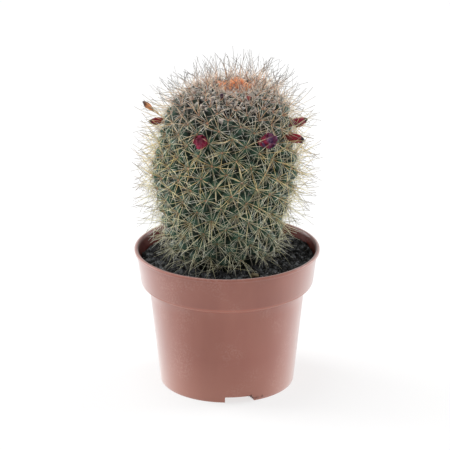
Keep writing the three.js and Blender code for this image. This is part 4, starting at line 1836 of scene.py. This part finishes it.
@dataclass
class SpineCoat(Seeded):
    """All spines of the stem, drawn from every areole. Sizes in mm.

    Values that begin with low are for the foot, where spines are thinner and sag. root_place is
    how far aside and how deep a spine is rooted, in shares of the tubercle's cell.
    """

    tubercles: Tubercles
    space: FreeSpace
    kinds: Sequence[SpineKind] = (RADIAL_SPINES, CENTRAL_SPINES)
    crown_heights: Pair = (174.0, 198.0)
    low_heights: Pair = (98.0, 122.0)
    tilt: float = 0.13
    wander: Pair = (0.12, 0.37)
    tired_length: float = 0.5
    low_length: Pair = (0.16, -0.40)
    low_width: float = -0.36
    width_spread: Pair = (0.75, 1.2)
    root_place: Pair = (0.07, 0.03)
    crown_bow: float = 1.4
    low_bow: float = 0.7
    pressed: float = 0.03
    low_sag: float = 0.16
    crown_tone_heights: Pair = (166.0, 196.0)
    young_arcs: Pair = (12.0, 19.0)
    young_tone: float = 0.6
    felt_size: Pair = (0.12, 0.17)
    felt_sunk: float = 0.42
    felt_rise: float = 0.62
    felt_heights: Pairs = ((105.0, 150.0), (172.0, 196.0))
    felt_tones: Pair = (0.6, 0.4)
    felt_finish: WoolFinish = WoolFinish(
        "areole_felt", fresh=(0.60, 0.33, 0.21), old=(0.24, 0.17, 0.10)
    )
    seed: int = 1203

    def axes(self) -> Array:
        """Tilt the axis of each areole's spines off its tubercle's, more so at the crown.

        Returns:
            One unit vector for each tubercle.
        """
        some = self.tubercles
        tilt = np.random.default_rng(self.seed).normal(0, self.tilt, some.tip.shape)
        return unit(some.normal + scaled(tilt, 1 + smoothstep(some.height, *self.crown_heights)))

    def draw(self, kind: SpineKind, owner: Array, turn: Array, tired: float) -> Seats:
        """Draw one spine for each row of owner.

        Args:
            kind: Its kind.
            owner: The tubercle that it stands on.
            turn: Its place round the areole, in radians.
            tired: From 0 on the first try to 1 on the last, which draws shorter spines.

        Returns:
            The seats of the spines.
        """
        some = self.tubercles
        count = len(owner)
        height, normal = some.height[owner], some.normal[owner]
        crown = smoothstep(height, *self.crown_heights)
        low = 1 - smoothstep(height, *self.low_heights)

        def pick(limits: Pair, crown_limits: Pair) -> Array:
            """Draw values between limits that change towards the crown."""
            share = self.rng.random(count)
            return between((between(limits, share), between(crown_limits, share)), crown)

        spread = np.radians(pick(kind.spread, kind.crown_spread))
        length = pick(kind.length, kind.crown_length) * (1 - self.tired_length * tired * tired)
        length *= 1 + between(self.low_length, np.abs(normal[:, 0])) * low
        out = some.outward(owner, turn + self.rng.normal(0, between(self.wander, tired), count))
        way = scaled(self.axes()[owner], np.cos(spread)) + scaled(out, np.sin(spread))
        aside, sunk = self.root_place
        cell = some.cell[owner]
        root = some.tip[owner] + scaled(out, cell * aside) - scaled(normal, sunk * cell)
        bend = unit(np.cross(way, self.rng.normal(0, 1, (count, 3)))) * kind.bow
        bend = scaled(bend, 1 + self.crown_bow * crown + self.low_bow * low)
        bow = scaled(bend - normal * self.pressed, length * MM)
        bow[:, 2] -= self.low_sag * low * length * MM
        width = kind.width * self.rng.uniform(*self.width_spread, count)
        width *= 1 + kind.crown_width * crown + self.low_width * low
        young = 1 - smoothstep(some.arc[owner] / MM, *self.young_arcs)
        marks = {
            "crown": smoothstep(height, *self.crown_tone_heights),
            "young": self.young_tone * young,
            "hue": self.rng.random(count),
        }
        return Seats(root, unit(way), width * MM, length * MM, bow=bow, marks=marks)

    def seats(self, kind: SpineKind) -> Seats:
        """Draw spines again and again, until most find a free way.

        Args:
            kind: Their kind.

        Returns:
            The seats of those that found one.
        """
        total = len(self.tubercles.cell)
        room = np.clip(self.tubercles.cell / self.tubercles.cell.max(), kind.crown_room, 1.0)
        counts = np.round(kind.count * room).astype(int)
        owner = np.repeat(np.arange(total), counts)
        place = np.concatenate([np.arange(count) / count for count in counts])
        turn = (self.rng.uniform(0, 1, total)[owner] + place) * 2 * np.pi
        done: list[Seats] = []
        for attempt in range(kind.tries):
            seats = self.draw(kind, owner, turn, attempt / kind.tries)
            free = self.space.allows(seats)
            done.append(seats.only(free))
            owner, turn = owner[~free], turn[~free]
            if len(owner) == 0:
                break
        log.info("%s: %d spines found no free way", kind.name, len(owner))
        return Seats.joined(done)

    def build(self) -> None:
        """Make the radial and the central spines, and the felt pads that they stand in."""
        for kind in self.kinds:
            seats = self.seats(kind)
            dress(plant(kind.name, kind.pattern(), seats), Slot.SPINES, kind.finish.material())
        self.felt()

    def felt(self) -> None:
        """Lay a small pad of felt on every tubercle's tip."""
        deselect_all()
        bpy.ops.mesh.primitive_uv_sphere_add(segments=8, ring_count=5, radius=0.5, location=(0, 0, 0.5))
        pattern = Pattern.lifted(bpy.context.object)
        some = self.tubercles
        size = some.cell * self.rng.uniform(*self.felt_size, len(some.cell))
        root = some.tip - scaled(some.normal, size * self.felt_sunk)
        seats = Seats(root, some.normal, size, size * self.felt_rise, side=some.side)
        seats.marks["crown"] = sum(
            tone * smoothstep(some.height, *heights)
            for tone, heights in zip(self.felt_tones, self.felt_heights)
        )
        dress(plant("areole_felt", pattern, seats), Slot.WOOL, self.felt_finish.material())


@dataclass
class WoolAndTuft(Seeded):
    """The white wool of the crown and upper axils, and the orange young spines, in mm.

    Arcs are lengths over the stem from the middle of the crown. Reaches, and the size of a
    lump, are in shares of the tubercle's cell.
    """

    form: StemForm
    tubercles: Tubercles
    space: FreeSpace
    radius: float = 9.3
    rise: float = 2.1
    cushion_sides: int = 48
    cushion_nap: float = 0.13
    bundles: int = 48
    bundle_spines: int = 10
    young_length: Pair = (2.8, 5.4)
    young_width: Pair = (0.16, 0.27)
    young_stops: Stops = (
        (0.0, (0.10, 0.02, 0.01)), (0.45, (0.60, 0.15, 0.045)), (0.78, (0.86, 0.30, 0.10)),
        (1.0, (0.80, 0.38, 0.18)),
    )
    spread: float = 0.46
    sunk: float = 0.7
    hair_length: Pair = (0.8, 2.2)
    hair_curl: float = 0.5
    axil_hairs: int = 22
    axil_hair_arcs: Pair = (12.0, 62.0)
    axil_hair_reach: Pair = (0.05, 0.5)
    axil_hair_width: Pair = (0.07, 0.12)
    crown_hairs: int = 700
    crown_hair_ring: Pair = (0.75, 1.15)
    crown_hair_width: Pair = (0.04, 0.07)
    lumps: int = 14
    lump_arcs: Pair = (13.0, 42.0)
    youngest_arcs: Pair = (13.0, 20.0)
    lump_reach: Pair = (0.22, 0.64)
    lump_rise: Pair = (0.3, 0.7)
    seed: int = 88

    def build(self) -> None:
        """Make the cushion, its hairs, the young spines and the wool in the axils."""
        self.cushion()
        self.young()
        self.grow_axil_hairs()
        self.grow_crown_hairs()
        self.flock()

    @cached_property
    def wool(self) -> Material:
        """The material of all the wool."""
        return WoolFinish("crown_wool", old=(0.18, 0.07, 0.035)).material()

    @cached_property
    def hair(self) -> Pattern:
        """The shape of one hair."""
        return Pattern.lifted(cut_rod(3, 0.4, (0.5,)))

    @property
    def centre(self) -> Pair:
        """Sideways place of the dip and the height of its rim."""
        return self.form.row_x(self.form.dip, 0.0), self.form.dip + self.form.dip_depth

    def cushion(self) -> None:
        """Model the woolly cushion in the dip."""
        x, rim = self.centre
        outer, rise = self.radius, self.rise
        profile = (
            (outer * 0.4, 0.8 - self.form.dip_depth), (outer - 0.9, 0.3), (outer - 0.1, 0.8),
            (outer, 1.3), (outer * 0.9, 1.8), (outer * 0.7, rise * 0.85), (outer * 0.45, rise),
            (outer * 0.2, rise * 1.02), (0.0, rise * 1.03),
        )
        rings = [(radius, rim + height, x) for radius, height in profile]
        pad = turn_rings("crown_cushion", rings, self.cushion_sides)
        points = read_points(pad)
        points += self.rng.normal(0, self.cushion_nap * MM, points.shape)
        write_points(pad, points)
        smooth(pad)
        reach = np.hypot(points[:, 0] / MM - x, points[:, 1] / MM)
        write_mark(pad, "crown", 0.15 + 0.85 * smoothstep(reach, 0.62 * outer, 0.95 * outer))
        dress(pad, Slot.WOOL, self.wool, "crown_tuft")

    def young(self) -> None:
        """Stand the young spines in the cushion, a bundle for each areole to come."""
        x, rim = self.centre
        place = np.sqrt((np.arange(self.bundles) + 0.5) / self.bundles)
        out = polar(1.0, np.arange(self.bundles) * self.form.golden_angle, 0.0)
        tilt = self.spread * (0.2 + place + self.rng.normal(0, 0.3, self.bundles))
        axis = scaled(out, np.sin(tilt)) + UPWARD * np.cos(tilt)[:, None]
        tone = self.rng.uniform(0.1, 1.0, self.bundles)
        owner = np.repeat(np.arange(self.bundles), self.bundle_spines)
        count = len(owner)
        root = scaled(out[owner], 1.02 * self.radius * place[owner]) + [x, 0, 0]
        root[:, :2] += self.rng.normal(0, 0.15, (count, 2))
        root[:, 2] = rim + self.rise * (1.0 - 0.7 * place[owner] ** 4) - self.sunk
        way = unit(axis[owner] + self.rng.normal(0, 0.09, (count, 3)))
        length = self.rng.uniform(*self.young_length, count) * (0.8 + 0.4 * tone[owner])
        bow = scaled(self.rng.normal(0, 0.09, (count, 3)), length)
        width = self.rng.uniform(*self.young_width, count)
        seats = Seats(root * MM, way, width * MM, length * MM, bow=bow * MM)
        seats.marks["crown"] = seats.marks["young"] = np.zeros(count)
        seats.marks["hue"] = np.clip(tone[owner] + self.rng.normal(0, 0.2, count), 0, 1)
        stops = self.young_stops
        piece = plant("young_spines", CENTRAL_SPINES.pattern(), seats)
        dress(piece, Slot.YOUNG, SpineFinish("spine_young", stops, stops, stops).material())

    def curls(self, root: Array, way: Array, width: Pair) -> Seats:
        """Draw the length, curl and width of hairs.

        Args:
            root: Where they stand.
            way: Their directions.
            width: Their least and greatest width.

        Returns:
            Their seats.
        """
        count = len(root)
        length = self.rng.uniform(*self.hair_length, count) * MM
        bow = scaled(unit(self.rng.normal(0, 1, (count, 3))), length * self.hair_curl)
        seats = Seats(root, way, self.rng.uniform(*width, count) * MM, length, bow=bow)
        seats.marks["crown"] = np.ones(count)
        return seats

    def grow_axil_hairs(self) -> None:
        """Grow curled hairs round the upper areoles."""
        some = self.tubercles
        amount = 1 - smoothstep(some.arc / MM, *self.axil_hair_arcs)
        owner = np.repeat(np.arange(len(amount)), np.round(self.axil_hairs * amount).astype(int))
        count = len(owner)
        cell, normal = some.cell[owner], some.normal[owner]
        out = some.outward(owner, self.rng.uniform(0, 2 * np.pi, count))
        reach = cell * self.rng.uniform(*self.axil_hair_reach, count)
        root = some.tip[owner] + scaled(out, reach) - scaled(normal, cell * 0.02 + reach * 0.35)
        way = unit(normal * 0.7 + self.rng.normal(0, 0.6, (count, 3)))
        seats = self.curls(root, way, self.axil_hair_width)
        kept = seats.only(self.space.allows(seats))
        dress(plant("axil_wool", self.hair, kept), Slot.WOOL, self.wool)

    def grow_crown_hairs(self) -> None:
        """Grow curled hairs round the edge of the cushion."""
        x, rim = self.centre
        count = self.crown_hairs
        azimuth = self.rng.uniform(0, 2 * np.pi, count)
        share = self.rng.uniform(*self.crown_hair_ring, count)
        height = rim + self.rise * (1 - 0.5 * share**2) - self.sunk
        root = polar(self.radius * share, azimuth, height) + [x, 0, 0]
        way = unit(self.rng.normal(0, 0.7, (count, 3)) + UPWARD * 0.5)
        seats = self.curls(root * MM, way, self.crown_hair_width)
        dress(plant("crown_wool", self.hair, seats), Slot.WOOL, self.wool)

    def flock(self) -> None:
        """Lay lumps of wool in the axils of the youngest tubercles."""
        some = self.tubercles
        amount = 1 - smoothstep(some.arc / MM, *self.lump_arcs)
        owner = np.repeat(np.arange(len(amount)), np.round(self.lumps * amount).astype(int))
        count = len(owner)
        cell, normal = some.cell[owner], some.normal[owner]
        out = some.outward(owner, self.rng.uniform(0, 2 * np.pi, count))
        youngest = 1 - smoothstep(some.arc[owner] / MM, *self.youngest_arcs)
        size = cell * (0.1 + (0.34 + 0.2 * youngest) * self.rng.random(count) ** 2.0)
        reach = self.rng.uniform(*self.lump_reach, count)
        root = some.tip[owner] + scaled(out, cell * reach)
        root -= scaled(normal, cell * 0.62 * reach + size * 0.3)
        seats = Seats(root, normal, size, size * self.rng.uniform(*self.lump_rise, count), side=out)
        seats.marks["crown"] = np.clip(self.rng.uniform(0.35, 1.0, count) + 0.5 * youngest, 0, 1)
        kept = seats.only(self.space.allows(seats))
        dress(plant("axil_flock", uneven_lump(2, 0.36, 11), kept), Slot.WOOL, self.wool)


# Flowers and buds


class Mouth(Enum):
    """How a withered flower ends."""

    SHUT = "shut"
    TORN = "torn"
    OPEN = "open"
    THREAD = "thread"


@dataclass(frozen=True)
class MouthForm:
    """The form of a flower that ends in one way.

    The outline gives shares of the length and of the half width, from the foot up. start and
    reach of the petals are shares of the length, and their foot, slant, end and looseness of
    the half width.
    """

    outline: Pairs
    foot: float
    slant: float
    end: float
    loose: float = 0.10
    start: Pair = (0.1, 0.42)
    reach: Pair = (0.52, 0.92)
    highest: float = 0.99
    hollow: bool = False


MOUTH_FORMS: dict[Mouth, MouthForm] = {
    Mouth.SHUT: MouthForm(
        outline=((0, 0.25), (0.1, 0.34), (0.22, 0.5), (0.36, 0.78), (0.5, 0.95), (0.62, 0.93),
                 (0.74, 0.66), (0.84, 0.4), (0.92, 0.24), (0.97, 0.14)),
        foot=0.85, slant=1.0, end=0.16,
    ),
    Mouth.TORN: MouthForm(
        outline=((0, 0.24), (0.1, 0.34), (0.22, 0.52), (0.38, 0.8), (0.54, 0.96), (0.68, 0.9),
                 (0.8, 0.72), (0.9, 0.52), (0.86, 0.36), (0.8, 0.2)),
        foot=0.85, slant=1.0, end=0.5, loose=0.24, hollow=True,
    ),
    Mouth.OPEN: MouthForm(
        outline=((0, 0.2), (0.1, 0.26), (0.22, 0.34), (0.36, 0.48), (0.5, 0.62), (0.66, 0.78),
                 (0.8, 0.9), (0.92, 0.98), (0.86, 0.8), (0.74, 0.55), (0.66, 0.28)),
        foot=0.52, slant=0.46, end=0.92, reach=(0.40, 0.58), highest=1.0, hollow=True,
    ),
    Mouth.THREAD: MouthForm(
        outline=((0, 0.12), (0.2, 0.12), (0.45, 0.14), (0.58, 0.22), (0.67, 0.7), (0.76, 1.05),
                 (0.86, 1.0), (0.93, 0.62), (0.98, 0.2)),
        foot=0.35, slant=1.0, end=0.16, start=(0.53, 0.626),
    ),
}


@dataclass
class WitheredFlower(Seeded):
    """A dried flower: a pleated tube with petals drawn over it. Sizes are shares of its own."""

    bloom: Bloom
    form: MouthForm
    finish: PetalFinish
    seed: int
    petals: int = 11
    slot: Slot = Slot.FLOWER
    sides: int = 20
    twist: float = 0.22
    twist_spread: Pair = (0.3, 1.0)
    pleats: float = 5.0
    pleat_turn: float = 9.0
    pleat_depth: float = 0.20
    wilt: float = 0.05
    flatness: float = 0.86
    petal_turn: float = 2.4
    petal_width: Pair = (0.57, 1.045)
    petal_thickness: float = 0.12
    inner_share: float = 0.12

    def build(self, name: str) -> None:
        """Model the flower and stand it on its place on the stem.

        Args:
            name: Name of the piece.
        """
        flower = join([self.tube(), self.crown_of_petals()], name)
        turn = Vector(self.bloom.way).to_track_quat("Z", "Y").to_matrix().to_4x4()
        flower.matrix_world = Matrix.Translation(Vector(self.bloom.root)) @ turn
        settle(flower, name)
        self.bend(flower)
        keep_in_box(flower)
        dress(flower, self.slot, self.finish.material(), self.bloom.node)

    def tube(self) -> Object:
        """Model the pleated tube, standing on the origin along +Z.

        Returns:
            The tube, with the marks "along" and "inner".
        """
        deselect_all()
        half, length = self.bloom.width / 2, self.bloom.length
        rings = [(radius * half, share * length, 0.0) for share, radius in self.form.outline]
        bpy.ops.mesh.primitive_circle_add(
            vertices=self.sides, radius=rings[0][0], fill_type="TRIFAN", location=(0, 0, 0)
        )
        tube = bpy.context.object
        with editing(tube):
            select_rim(tube)
            for last, ring in zip(rings[:-1], rings[1:]):
                extrude_ring(last, ring)
                bpy.ops.transform.rotate(
                    value=self.twist * self.rng.uniform(*self.twist_spread),
                    orient_axis="Z",
                    center_override=(0, 0, ring[1]),
                )
            bpy.ops.mesh.merge(type="CENTER")
        close_skin(tube)
        points = read_points(tube)
        reach = np.hypot(points[:, 0], points[:, 1])
        turn = np.arctan2(points[:, 1], points[:, 0])
        high = points[:, 2] / length
        wave = 1 + np.cos(turn * self.pleats + self.pleat_turn * high)
        pleat = 1 - self.pleat_depth * smoothstep(high, 0.0, 0.3) * wave
        wilt = 1 + self.rng.normal(0, self.wilt, len(points))
        points[:, 0] *= pleat * wilt
        points[:, 1] *= pleat * wilt * self.flatness
        write_points(tube, points)
        write_mark(tube, "along", np.clip(high, 0, 1))
        write_mark(tube, "inner", self.inside(high, reach / half))
        smooth(tube)
        return tube

    def inside(self, high: Array, reach: Array) -> Array:
        """Find the points of the tube that lie inside its mouth.

        Args:
            high: Their heights, in shares of the length.
            reach: Their distances from the axis, in half widths.

        Returns:
            1 for a point inside and 0 for another.
        """
        if not self.form.hollow:
            return np.zeros(len(high))
        rim = max(share for share, _ in self.form.outline)
        bottom, width = self.form.outline[-1]
        limit = np.interp(high, [bottom, rim], [width * 1.6, 0.9])
        return ((high > bottom - 0.02) & (reach < limit)).astype(float)

    def petal(self) -> Pattern:
        """Model a narrow pointed petal, cupped across.

        Returns:
            The petal, from 0 at its foot to 1 at its tip.
        """
        deselect_all()
        bpy.ops.mesh.primitive_grid_add(
            x_subdivisions=3, y_subdivisions=7, size=1.0, location=(0, 0, 0)
        )
        petal = bpy.context.object
        points = read_points(petal)
        aside, along = points[:, 0].copy(), points[:, 1] + 0.5
        wide = 0.16 + 0.84 * np.sin(np.pi * np.clip(along * 0.86 + 0.06, 0, 1)) ** 0.8
        wide *= 1 - 0.86 * smoothstep(along, 0.78, 1.0)
        points[:, 0] = aside * wide
        points[:, 1] = 0.9 * aside**2 * wide - 0.1
        points[:, 2] = along
        write_points(petal, points)
        return Pattern.lifted(petal)

    def crown_of_petals(self) -> Object:
        """Lay petals round the tube, drawn in over its end or open in a funnel.

        Returns:
            The petals, as one thin-walled piece.
        """
        form, count = self.form, self.petals
        half, length = self.bloom.width / 2, self.bloom.length
        turn = np.arange(count) * self.petal_turn + self.rng.normal(0, 0.2, count)
        out, side = polar(1.0, turn, 0.0), polar(1.0, turn + np.pi / 2, 0.0)
        start = self.rng.uniform(*form.start, count)
        reach = np.minimum(self.rng.uniform(*form.reach, count), form.highest - start)
        first = form.foot * half * (0.6 + start)
        root = scaled(out, first) + np.outer(start * length, UPWARD)
        slant = scaled(out, form.slant * half / (reach * length))
        way = unit(slant + UPWARD + scaled(side, self.rng.normal(0, 0.05, count)))
        last = form.end * half - first - form.slant * half
        bow = scaled(out, last) + self.rng.normal(0, form.loose, (count, 3)) * half
        width = half * self.rng.uniform(*self.petal_width, count)
        seats = Seats(root, way, width, reach * length, side=side, bow=bow)
        seats.marks["inner"] = (self.rng.random(count) < self.inner_share).astype(float)
        petals = plant("petals", self.petal(), seats)
        only(petals)
        shell = petals.modifiers.new("thickness", "SOLIDIFY")
        shell.thickness = self.petal_thickness * MM
        bpy.ops.object.modifier_apply(modifier=shell.name)
        return petals

    def bend(self, flower: Object) -> None:
        """Carry the middle of the flower off its chord, as its CAD node's is.

        Args:
            flower: The flower, on its place on the stem.
        """
        points = read_points(flower)
        share = np.clip((points - self.bloom.root) @ self.bloom.way / self.bloom.length, 0, 1)
        write_points(flower, points + np.outer(4 * share * (1 - share), self.bloom.bow))


Look = tuple[Mouth, Colour, Colour, Colour, Colour]
FLOWER_LOOKS: Sequence[Look] = (
    (Mouth.THREAD, (0.34, 0.18, 0.07), (0.96, 0.36, 0.12), (0.05, 0.02, 0.012), (0.3, 0.1, 0.04)),
    (Mouth.SHUT, (0.24, 0.012, 0.016), (0.27, 0.009, 0.016), (0.010, 0.005, 0.005), (0.1, 0.01, 0.02)),
    (Mouth.TORN, (0.28, 0.012, 0.04), (0.36, 0.012, 0.065), (0.26, 0.02, 0.07), (0.16, 0.006, 0.03)),
    (Mouth.OPEN, (0.34, 0.02, 0.05), (0.42, 0.022, 0.08), (0.20, 0.05, 0.13), (0.15, 0.07, 0.20)),
    (Mouth.SHUT, (0.28, 0.02, 0.03), (0.34, 0.012, 0.034), (0.02, 0.008, 0.010), (0.2, 0.02, 0.02)),
    (Mouth.SHUT, (0.28, 0.02, 0.04), (0.34, 0.018, 0.06), (0.02, 0.008, 0.010), (0.2, 0.01, 0.04)),
    (Mouth.SHUT, (0.13, 0.04, 0.06), (0.17, 0.06, 0.12), (0.06, 0.02, 0.04), (0.1, 0.03, 0.06)),
    (Mouth.SHUT, (0.28, 0.05, 0.03), (0.34, 0.04, 0.05), (0.03, 0.01, 0.012), (0.2, 0.02, 0.02)),
    (Mouth.TORN, (0.30, 0.02, 0.06), (0.38, 0.02, 0.09), (0.14, 0.01, 0.04), (0.10, 0.02, 0.05)),
    (Mouth.SHUT, (0.26, 0.08, 0.03), (0.30, 0.05, 0.04), (0.03, 0.012, 0.012), (0.2, 0.02, 0.02)),
)
BUD_LOOKS: Sequence[Look] = (
    (Mouth.SHUT, (0.10, 0.03, 0.06), (0.09, 0.025, 0.07), (0.05, 0.015, 0.04), (0.1, 0.02, 0.04)),
    (Mouth.SHUT, (0.40, 0.12, 0.08), (0.46, 0.09, 0.09), (0.36, 0.06, 0.06), (0.2, 0.02, 0.02)),
)
OPEN_PETALS = 14
BUD_PETALS = 6
FIRST_FLOWER_SEED = 300


def build_blooms(blooms: Sequence[Bloom]) -> None:
    """Make every withered flower and young bud on its CAD place.

    Args:
        blooms: Their axes, those of the buds last.
    """
    for i, (bloom, look) in enumerate(zip(blooms, (*FLOWER_LOOKS, *BUD_LOOKS))):
        mouth, *colours = look
        finish = PetalFinish(f"petal_{bloom.node}", *colours)
        flower = WitheredFlower(bloom, MOUTH_FORMS[mouth], finish, FIRST_FLOWER_SEED + i)
        if mouth is Mouth.OPEN:
            flower.petals = OPEN_PETALS
        name = f"withered_{bloom.node}"
        if i >= len(FLOWER_LOOKS):
            flower.petals, flower.slot, name = BUD_PETALS, Slot.BUD, f"young_{bloom.node}"
        flower.build(name)


# Studio


@dataclass(frozen=True)
class Softbox:
    """A soft light: its place and its size in metres, and its power in watts."""

    name: str
    place: Ring
    size: Pair
    power: float


@dataclass
class Studio:
    """Plain white floor, soft lights and the camera at the photograph's angle, in metres."""

    target: Ring = (-0.00132, 0.0, 0.106)
    distance: float = 1.8
    elevation: float = 20.2
    pixels_per_metre: float = 1549.0
    frame_pixels: int = 450
    clip: Pair = (0.1, 50.0)
    floor_radius: float = 3.0
    floor_sides: int = 96
    curve: float = 1.0
    curve_points: int = 11
    wall: float = 0.6
    smooth_angle: float = 40.0
    glow: float = 0.70
    paper: float = 0.24
    sky: float = 0.42
    softboxes: Sequence[Softbox] = (
        Softbox("top", (-0.35, 0.1, 1.7), (0.9, 0.9), 15.0),
        Softbox("left", (-1.4, 0.5, 0.5), (0.9, 1.4), 29.0),
        Softbox("right", (1.4, 0.5, 0.5), (0.9, 1.4), 27.0),
    )

    def build(self) -> None:
        """Set up the backdrop and the lights, and place the camera."""
        self.backdrop()
        self.world()
        self.lights()
        self.camera()

    def backdrop(self) -> None:
        """Model a white floor that curves up into a low round wall."""
        flat, curve = self.floor_radius, self.curve
        rings = [
            (flat + curve * math.sin(angle), curve * (1 - math.cos(angle)), 0.0)
            for angle in turns(0, 90, self.curve_points)
        ]
        rings[-1] = (flat + curve, curve + self.wall, 0.0)
        deselect_all()
        bpy.ops.mesh.primitive_circle_add(
            vertices=self.floor_sides, radius=self.floor_radius, fill_type="NGON", location=(0, 0, 0)
        )
        sheet = bpy.context.object
        with editing(sheet):
            select_rim(sheet)
            for last, ring in zip(rings[:-1], rings[1:]):
                extrude_ring(last, ring)
        settle(sheet, "studio_backdrop")
        smooth(sheet, self.smooth_angle)
        paper = Sheet("studio_paper", 0.9, 0.0)
        paper.set("Base Color", (self.paper,) * 3)
        paper.set("Emission Color", WHITE)
        paper.set("Emission Strength", self.glow)
        sheet.data.materials.append(paper.material)

    def world(self) -> None:
        """Give even, dimmer light from above the backdrop."""
        world = bpy.data.worlds.new("studio_white")
        world.use_nodes = True
        background = world.node_tree.nodes["Background"]
        background.inputs["Color"].default_value = (*WHITE, 1.0)
        background.inputs["Strength"].default_value = self.sky
        bpy.context.scene.world = world
        bpy.context.scene.view_settings.view_transform = "Standard"
        bpy.context.scene.view_settings.look = "None"

    def lights(self) -> None:
        """Hang the soft boxes above and on both sides, turned to the plant."""
        for box in self.softboxes:
            deselect_all()
            bpy.ops.object.light_add(type="AREA", location=box.place)
            light = bpy.context.object
            light.name = f"softbox_{box.name}"
            light.data.shape = "RECTANGLE"
            light.data.size, light.data.size_y = box.size
            light.data.energy = box.power
            light.visible_camera = False
            aim = Vector(self.target) - Vector(box.place)
            light.rotation_euler = aim.to_track_quat("-Z", "Y").to_euler()

    def camera(self) -> None:
        """Place the camera at the photograph's viewpoint, with its framing."""
        angle = math.radians(self.elevation)
        back = Vector((0.0, -math.cos(angle), math.sin(angle)))
        place = Vector(self.target) + back * self.distance
        bpy.ops.object.camera_add(location=place)
        camera = bpy.context.object
        camera.name = "photo_camera"
        camera.rotation_euler = (-back).to_track_quat("-Z", "Y").to_euler()
        sensor = camera.data.sensor_width
        camera.data.lens = self.pixels_per_metre * self.distance * sensor / self.frame_pixels
        camera.data.clip_start, camera.data.clip_end = self.clip
        bpy.context.scene.camera = camera


def main() -> None:
    """Build the pot, the peat, the plant and the studio, in that order."""
    logging.basicConfig(level=logging.INFO, format="%(name)s %(message)s")
    pot = NurseryPot()
    pot.build()
    peat = PeatBed(pot)
    peat.build()
    form = StemForm()
    tubercles = form.tubercles().grown_above(form.lowest_tubercle)
    log.info("%d tubercles", len(tubercles.cell))
    StemBody(form, tubercles).build()
    nodes = [*(f"flower_{i}" for i in range(1, 11)), "bud_1", "bud_2"]
    blooms = [Bloom.of(node) for node in nodes]
    space = FreeSpace(peat, blooms)
    SpineCoat(tubercles, space).build()
    WoolAndTuft(form, tubercles, space).build()
    build_blooms(blooms)
    Studio().build()


if __name__ == "__main__":
    main()
